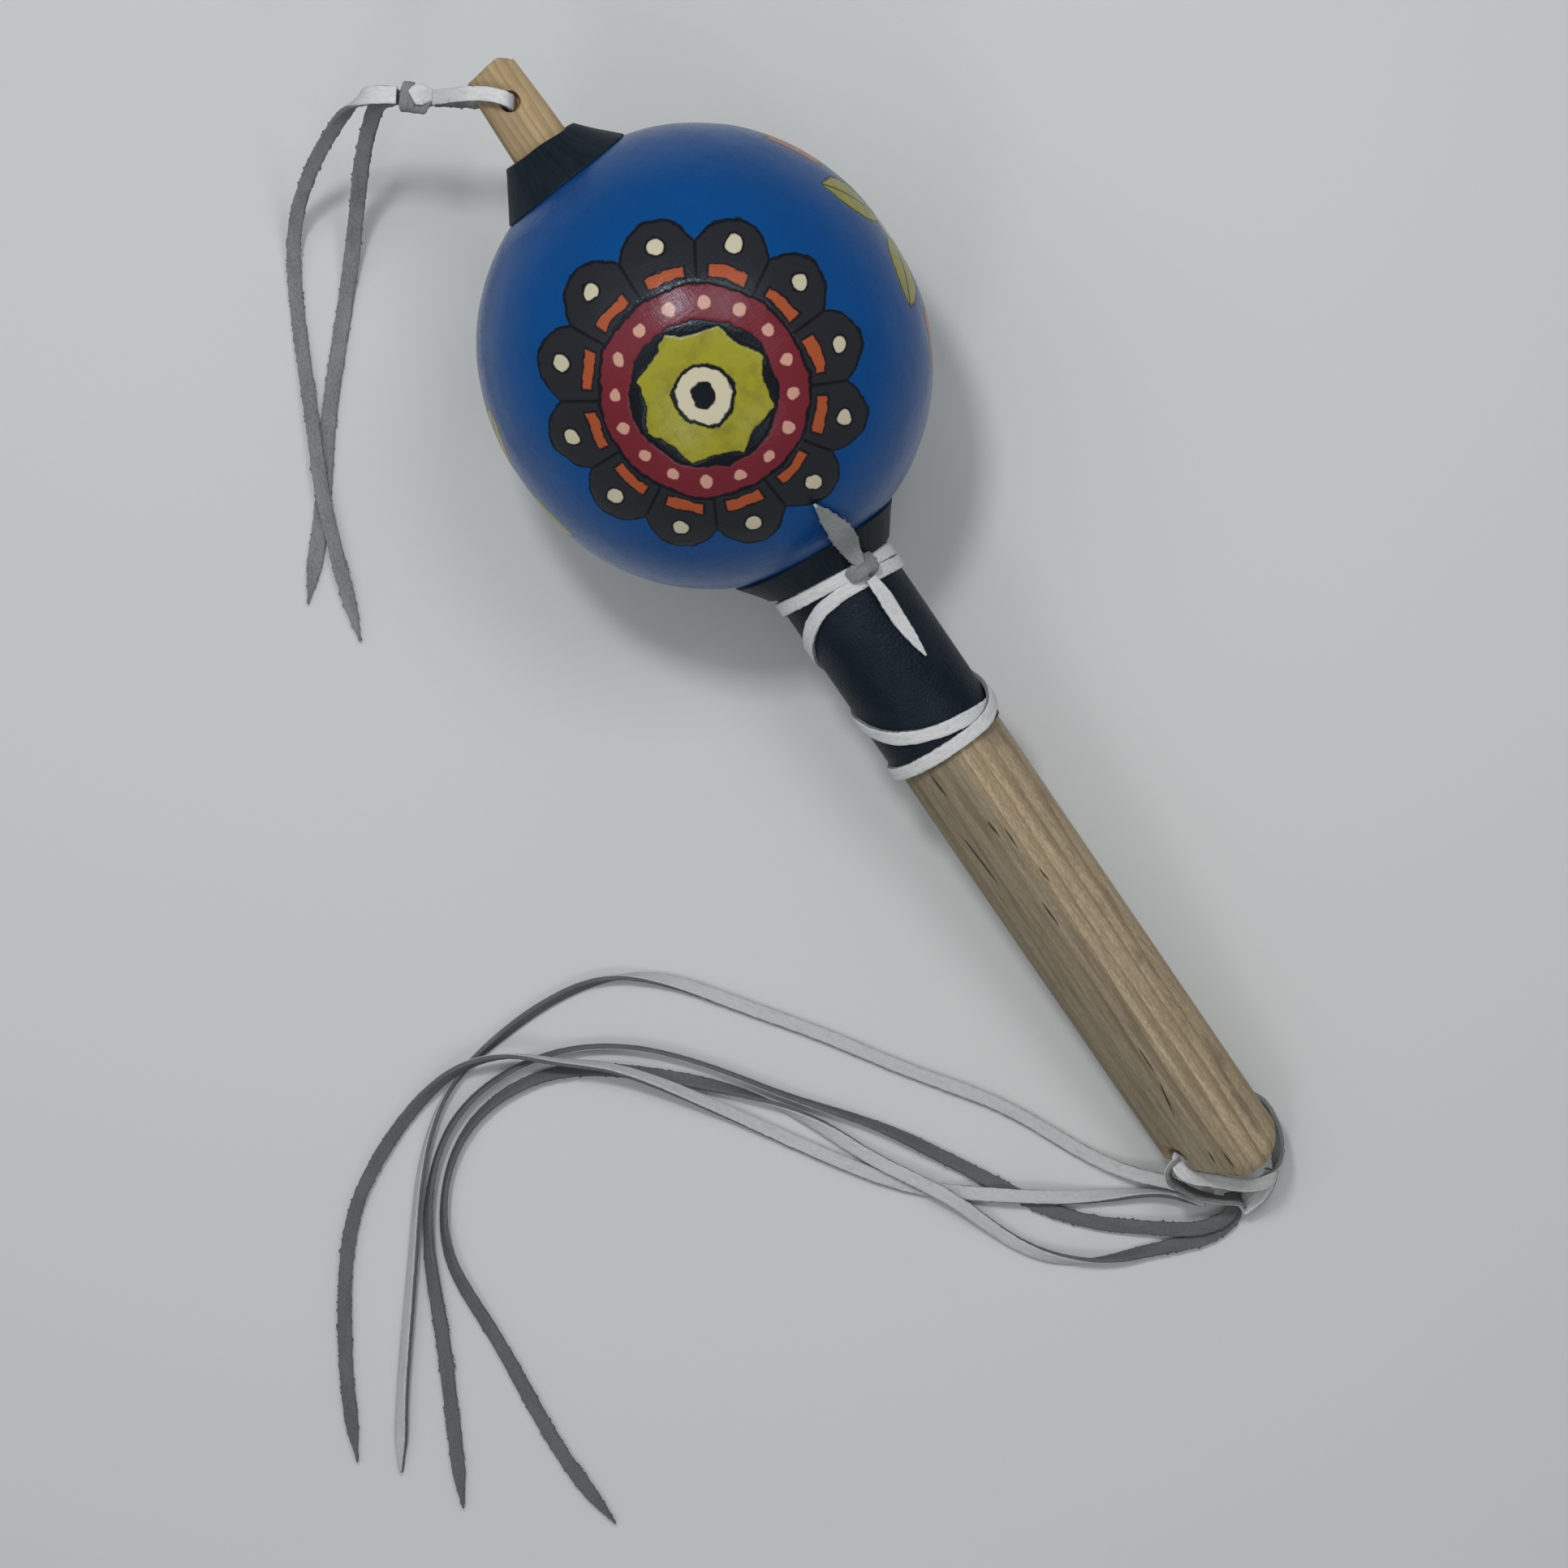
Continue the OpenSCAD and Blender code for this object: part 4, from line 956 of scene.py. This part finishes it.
def collar_profile(small_r, small_at, foot_r, rows=46):
    """Middle line of an arc from the small ring to the gourd, with its normal and half thickness."""
    foot_at = np.sqrt(GOURD_R**2 - foot_r**2)
    run = np.array([foot_r - small_r, foot_at - small_at])
    bow = (run @ run) / (8 * COLLAR_HOLLOW) + COLLAR_HOLLOW / 2
    square = np.array([-run[1], run[0]]) / np.hypot(*run)
    middle = np.array([small_r + foot_r, small_at + foot_at]) / 2 + square * (bow - COLLAR_HOLLOW)
    ends = np.array([[small_r, small_at], [foot_r, foot_at]]) - middle
    first, last = np.unwrap(np.arctan2(ends[:, 1], ends[:, 0]))
    share = 1 - np.cos(np.linspace(0, np.pi / 2, rows))
    turn = first + (last - first) * share
    normal = np.column_stack([np.cos(turn), np.sin(turn)])
    from_rim = bow * np.abs(turn - first)
    half = LEATHER / 2 * np.sqrt(1 - np.clip(1 - from_rim / (0.6 * LEATHER), 0, 1) ** 2)
    return middle + (bow + LEATHER / 2) * normal, normal, half, from_rim


def add_collar(name, small_r, small_s, foot_r, seed, mirrored, rim_lean, node):
    """Turn the profile about the line from the half ball's middle to the stick, outside then inside.

    Each ring leans by that line's own lean at the foot, and by rim_lean times it at the rim.
    """
    lean = np.arctan2(GOURD_OFFSET, small_s - BALL_S)
    line, normal, half, from_rim = collar_profile(small_r, np.hypot(GOURD_OFFSET, small_s - BALL_S), foot_r)
    loop = np.vstack([line - normal * half[:, None], (line + normal * half[:, None])[::-1]])
    along = np.r_[from_rim, from_rim[::-1]][:, None]
    flow = stacked(np.cos(angle), np.sin(angle), along * 0.12)
    uneven = 0.12 * noise(flow * [2.2, 2.2, 1], seed) + 0.05 * noise(flow * [9, 9, 0.6], seed + 5)
    r = loop[:, :1] + uneven * ease(0, 3, along)
    at = loop[:, 1:] + 0.22 * noise(flow * [1.6, 1.6, 0], seed + 9)
    ring_lean = lean * (rim_lean + (1 - rim_lean) * ease(0, from_rim[-1], along))
    up = r * np.cos(angle)
    side = r * np.sin(angle) * np.cos(ring_lean) + at * np.sin(lean) - GOURD_OFFSET
    s = BALL_S - r * np.sin(angle) * np.sin(ring_lean) + at * np.cos(lean)
    s = -s if mirrored else s
    grid = from_axis(up, side, s)
    skin = stacked(angle * small_r * 1.3, along, np.r_[0 * half, 0 * half + 9][:, None])
    add_piece(name, [grid], {"skin": [skin]}, smooth_leather, "rattle", [node],
              closed_rows=True)


SLOPED = SEAT_GAP + SLOPE_SHARE * LEATHER
add_collar("collar_leather", SPINDLE_R + SLOPED, COLLAR_S, COLLAR_FOOT_R, 51, False, 0.0, "top_collar")
add_collar("cuff_leather", SLEEVE_R + SLOPED, -CUFF_S - CUFF_SHORT, CUFF_FOOT_R, 52, True, 1.5, "neck_cuff")

# %% [markdown]
# The sleeve is one sheet wrapped round the grip, with an open seam underneath. The rings of its grid run
# out over the outer face and back over the inner one, so the sheet has thickness.

# %% Sleeve
SLEEVE_TOP, SLEEVE_LENGTH, SEAM_GAP = SHOULDER_S - SEAT_GAP, 49.8, 0.4
SLEEVE_END = SLEEVE_TOP - SLEEVE_LENGTH
rows = np.linspace(SLEEVE_TOP, SLEEVE_END, 110)[:, None]
seam = SEAM_GAP / 2 / SLEEVE_R
sheet_angle = np.linspace(np.pi + seam, 3 * np.pi - seam, 240)
circle = stacked(np.cos(sheet_angle), np.sin(sheet_angle), rows * 0.05)
folds = 0.12 * noise(circle * [2.4, 2.4, 2], 53) - 0.05
hem = 0.35 * noise(circle * [3, 3, 0], 54)
outer = on_handle(SLEEVE_R + folds, sheet_angle, rows + hem)
inner = on_handle(SLEEVE_IN_R, sheet_angle, rows + 0 * sheet_angle)
sheet = np.concatenate([outer, inner[:, ::-1]], axis=1)
over_skin = stacked(sheet_angle * SLEEVE_R, rows, 0.0)
skin = np.concatenate([over_skin, over_skin[:, ::-1]], axis=1)
add_piece("sleeve_leather", [sheet], {"skin": [skin]}, pebbled_leather, "rattle",
          ["handle_sleeve"])

# %% [markdown]
# A white lace winds round the sleeve: two turns at the neck, one long run down the back, two turns at the
# hem. A table of angles against stations tells the whole winding, with a lift where a turn passes over
# another. Two short free ends stand from the knot on the neck.

# %% Lacing
LACING_SUNK, TURN_GAP = 0.3, 0.6
LACING_R = SLEEVE_R - LACING_SUNK + LACE_THICK / 2
TURN_PITCH = LACE_WIDTH + TURN_GAP
NECK_S = CUFF_S - LACE_WIDTH / 2 - SEAT_GAP
HEM_S = SLEEVE_END + LACE_WIDTH / 2
NECK_TURNS = np.array([
    [-540, 0.2], [-450, 0.4], [-400, -0.15], [-368, -0.3], [-349, -0.47], [-329, -0.55], [-300, -0.55],
    [-270, -0.4], [-180, 0.6], [-90, 1.2], [-72, 1.1], [-35, 0.65], [3, 0.38], [15, 0.42], [30, 0.56],
    [45, 0.96], [64, 1.7], [85, 2.7]])
HEM_TURNS = np.array([
    [235, 2.45], [252, 1.85], [270, 1.3], [286, 0.75], [302, 0.3], [318, 0.05], [335, 0], [540, 0.1],
    [630, 0.35], [660, 0.45], [680, 0.65], [714, 1.06], [741, 1.57], [763, 2.15], [782, 2.85],
    [800, 3.6], [855, 4.4]])
LIFT = np.array([[260, 0], [282, 0.5], [322, 0.5], [344, 0], [610, 0], [636, -0.5], [672, -0.5], [700, 0]])
winding = np.vstack([NECK_TURNS * [1, -TURN_PITCH] + [0, NECK_S], HEM_TURNS * [1, TURN_PITCH] + [0, HEM_S]])
degrees = np.arange(winding[0, 0], winding[-1, 0], 1.5)


def eased(rows):
    """A table of angles and values read at every degree step, blurred so that its corners are round."""
    blur = np.hanning(15) / np.hanning(15).sum()
    return np.convolve(np.pad(np.interp(degrees, *rows.T), 7, mode="edge"), blur, mode="valid")


station, lift = eased(winding), eased(LIFT)
phi = np.radians(degrees)
path = on_handle(LACING_R + lift, phi, station)
outward = on_handle(1.0, phi, 0.0) - on_handle(0.0, phi, 0.0)
ahead = unit(np.gradient(path, axis=0))
lacing = strip_grid(path, np.cross(outward, ahead), np.zeros(len(path)), np.ones(len(path)), 61)
add_strips("neck_lacing", [lacing], "rattle", ["sleeve_lacing"])

# %% Free ends on the neck
KNOT_R, PALE_SUEDE, SHORT_STEP = 1.6, 0.55, 0.3
knot_r = LACING_R + LACE_THICK / 2 + 2 * SEAT_GAP + KNOT_R


def on_knot(r, degrees, s):
    """A place by its radius past the knot's, its angle in degrees and its station past the knot's."""
    return on_handle(knot_r + r, np.radians(degrees), NECK_S + s)


def over_gourd(rise, degrees, s):
    """A place at a rise above the gourd's round, by angle and station past the knot's."""
    off = np.maximum(np.abs(NECK_S + s) - BALL_S, 0)
    return on_handle(np.sqrt(GOURD_R**2 - off**2) + rise, np.radians(degrees), NECK_S + s)


def short_strip(points, shares, twist, seed, side=SIDE):
    """A short strip on a spline through points, with its width given as a share at each."""
    points = np.column_stack([np.array(points), shares, twist + np.zeros(len(points))])
    walk = smooth_path(points, SHORT_STEP)[0]
    return strip_grid(walk[:, :3], side, walk[:, 4], walk[:, 3], seed)


tail_up = short_strip(
    [on_knot(0.6, -19.5, 2), on_knot(3.2, -16.5, 6), over_gourd(4.2, -12, 10.4), over_gourd(2.2, -8.5, 15.2),
     over_gourd(2.4, -5.5, 20.6)], [0.7, 1.35, 1.6, 1.2, 0.15], 180, 62)
tail_up[1]["face"] = np.maximum(tail_up[1]["face"], PALE_SUEDE)
add_strips("neck_tail_up", [tail_up], "rattle", ["lacing_tail_up"])
tail_down = short_strip(
    [on_knot(-0.1, -21, -2), on_knot(-0.5, -22.5, -6.5), on_knot(-1.7, -24, -11.5),
     on_knot(-2.2, -25.5, -17.5), on_knot(-2.3, -27, -23.5)], [0.7, 1, 1.05, 0.8, 0.15], 180, 63)
add_strips("neck_tail_down", [tail_down], "rattle", ["lacing_tail_down"])

# %% [markdown]
# A tied knot in flat lace shows one strip folded across another. A few short strips, bent over
# each other, read as a knot where a plain ball would not: two are enough on the neck, and four at the tip.

# %% Knot on the neck
KNOT_TURN = -22
over = short_strip(
    [on_knot(-1.5, -30, 2.2), on_knot(0.1, -29, 1.8), on_knot(0.5, -28, 0.5), on_knot(0.1, -27, -0.8),
     on_knot(-1.5, -27, -1.4)], [0.5, 0.65, 0.7, 0.65, 0.5], 0, 64)
under = short_strip(
    [on_knot(-1.6, KNOT_TURN - 14, 1.0), on_knot(-0.3, KNOT_TURN - 8, 1.2), on_knot(0.5, KNOT_TURN, 1.1),
     on_knot(-0.1, KNOT_TURN + 8, 0.8), on_knot(-1.6, KNOT_TURN + 14, 0.5)],
    [0.8, 1.2, 1.3, 1.25, 0.8], 0, 65, side=AXIS)
add_strips("neck_knot", [over, under], "rattle", ["lacing_knot"])

# %% Knot at the tip
HANG_KNOT = TIP_HOLE + [13.1, 16, -3.4]


def at_knot(along, across, rise):
    """A place by its distances from the knot's middle: on from the hole, across, and up."""
    return HANG_KNOT + along * HEADING + across * ACROSS + rise * UP


wrap = short_strip(
    [at_knot(1.5, -2.2, -1.4), at_knot(1.6, -2.7, 0.5), at_knot(1.7, 0, 2.0), at_knot(1.5, 2.8, 0.5),
     at_knot(1.3, 2.4, -1.4)], [0.7, 0.8, 0.95, 1.1, 0.9], 0, 66, side=HEADING)
fold = short_strip(
    [at_knot(-3.4, -0.4, 0.6), at_knot(-2.2, -0.5, 1.7), at_knot(-0.9, -0.2, 2.3), at_knot(0.5, 0.6, 2.3)],
    [0.9, 1.2, 1.5, 1.1], 0, 67, side=ACROSS)
tuck = short_strip(
    [at_knot(-2.6, 0.6, 1.0), at_knot(-1.8, 1.9, 1.2), at_knot(-0.9, 2.9, 0.5), at_knot(-0.6, 2.6, -1.2)],
    [0.7, 0.9, 0.9, 0.7], 0, 69, side=HEADING)
below = short_strip(
    [at_knot(-3.6, 0, -0.9), at_knot(-1.5, 0, -1.8), at_knot(1.5, 0, -1.8), at_knot(3.6, 0, -0.6)],
    [0.9, 1.1, 1.1, 0.9], 0, 68, side=ACROSS)
add_strips("tip_knot", [wrap, fold, tuck, below], "hang_lace", ["hang_knot"])

# %% [markdown]
# Seeds inside the gourd make the sound. They keep their CAD forms, since no one sees them, and get a dry,
# mottled skin.

# %% Seeds
seed_skin, tree, shader = new_material("seed_skin")
spot = add(tree, "TexCoord").outputs["Object"]
place = add(tree, "VectorMath", {0: spot, "Scale": 1 / MM}, operation="SCALE").outputs[0]
mottle = blotch(tree, place, (0.9, 0.9, 0.9), 0.4, 0.65)
colour = layer(tree, mottle, (0.36, 0.20, 0.06, 1), (0.16, 0.08, 0.03, 1))
set_shader(tree, shader, Base_Color=colour, Roughness=mottle * 0.2 + 0.45,
           Normal=relieved(tree, mottle, 0.08))
SEED_ROWS = ("seeds_front", "seeds_middle", "seeds_rear")
for row in SEED_ROWS:
    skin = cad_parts[row].data.materials
    skin.clear()
    skin.append(seed_skin)
print("seed rows dressed:", len(SEED_ROWS))

# %% [markdown]
# The stage is a plain pale table. Its paint is nearly even, so that only shadows draw on it. It is one
# large square just under the laces.

# %% Table
table_paint, tree, shader = new_material("table_paint")
spot = add(tree, "TexCoord").outputs["Object"]
tone = blotch(tree, spot, (1.5, 1.5, 1.5), 0.3, 0.7)
colour = layer(tree, tone, (0.595, 0.612, 0.606, 1), (0.615, 0.632, 0.626, 1))
set_shader(tree, shader, Base_Color=colour, Roughness=0.75, Specular_IOR_Level=0.1)
HALF_TABLE, TABLE_Z = 2.0, -0.0001
corners = np.array([[-1, -1], [1, -1], [1, 1], [-1, 1]]) * HALF_TABLE
top = bpy.data.meshes.new("table_top")
top.from_pydata(np.column_stack([corners, np.full(4, TABLE_Z)]).tolist(), [], [(0, 1, 2, 3)])
top.materials.append(table_paint)
table = bpy.data.objects.new("table_top", top)
bpy.context.scene.collection.objects.link(table)
print("table side in metres:", 2 * HALF_TABLE)

# %% [markdown]
# Two lamps hang nearly overhead: a small one gives the laces their crisp shadows and a wider one their soft
# second shadow. A wide lamp stands at the picture's left like a window, two fill from its lower side, and an
# even sky softens the rest. The Standard view shows brightness as it is, so colours can be set by number.

# %% Light
# Each lamp: lean from overhead in degrees, shares of picture right and up, distance, size and watts
LAMPS = {"ceiling_left": (22, -0.57, 0.82, 0.74, 0.08, 1.55),
         "ceiling_right": (22, 0.5, 0.85, 0.74, 0.24, 0.95),
         "window": (32, -1.0, 0.15, 1.3, 0.9, 1.8),
         "fill_left": (36, -0.4, -0.9, 1.3, 0.25, 1.2),
         "fill_right": (36, 0.6, -0.8, 1.3, 0.25, 0.7)}
SKY_COLOUR, SKY_STRENGTH = (0.93, 0.97, 1.0, 1), 0.30


def add_lamp(name, lean_deg, right_share, up_share, distance, size, watts):
    """A square lamp facing the table's middle, leaning from overhead towards a side of the picture."""
    data = bpy.data.lights.new(name, "AREA")
    data.size, data.energy = size, watts
    lamp = bpy.data.objects.new(name, data)
    toward = unit(right_share * PICTURE_RIGHT + up_share * PICTURE_UP)
    back = np.sin(np.radians(lean_deg)) * toward + np.cos(np.radians(lean_deg)) * UP
    right = unit(np.cross(PICTURE_UP, back))
    turn = np.column_stack([right, np.cross(back, right), back, back * distance])
    lamp.matrix_world = Matrix(np.vstack([turn, [0, 0, 0, 1]]).tolist())
    bpy.context.scene.collection.objects.link(lamp)
    return lamp


lamps = [add_lamp(name, *values) for name, values in LAMPS.items()]
sky = bpy.data.worlds.new("soft_room")
sky.use_nodes = True
backdrop = sky.node_tree.nodes["Background"].inputs
backdrop["Color"].default_value, backdrop["Strength"].default_value = SKY_COLOUR, SKY_STRENGTH
bpy.context.scene.world = sky
bpy.context.scene.view_settings.view_transform = "Standard"
print("lamps:", [lamp.name for lamp in lamps])
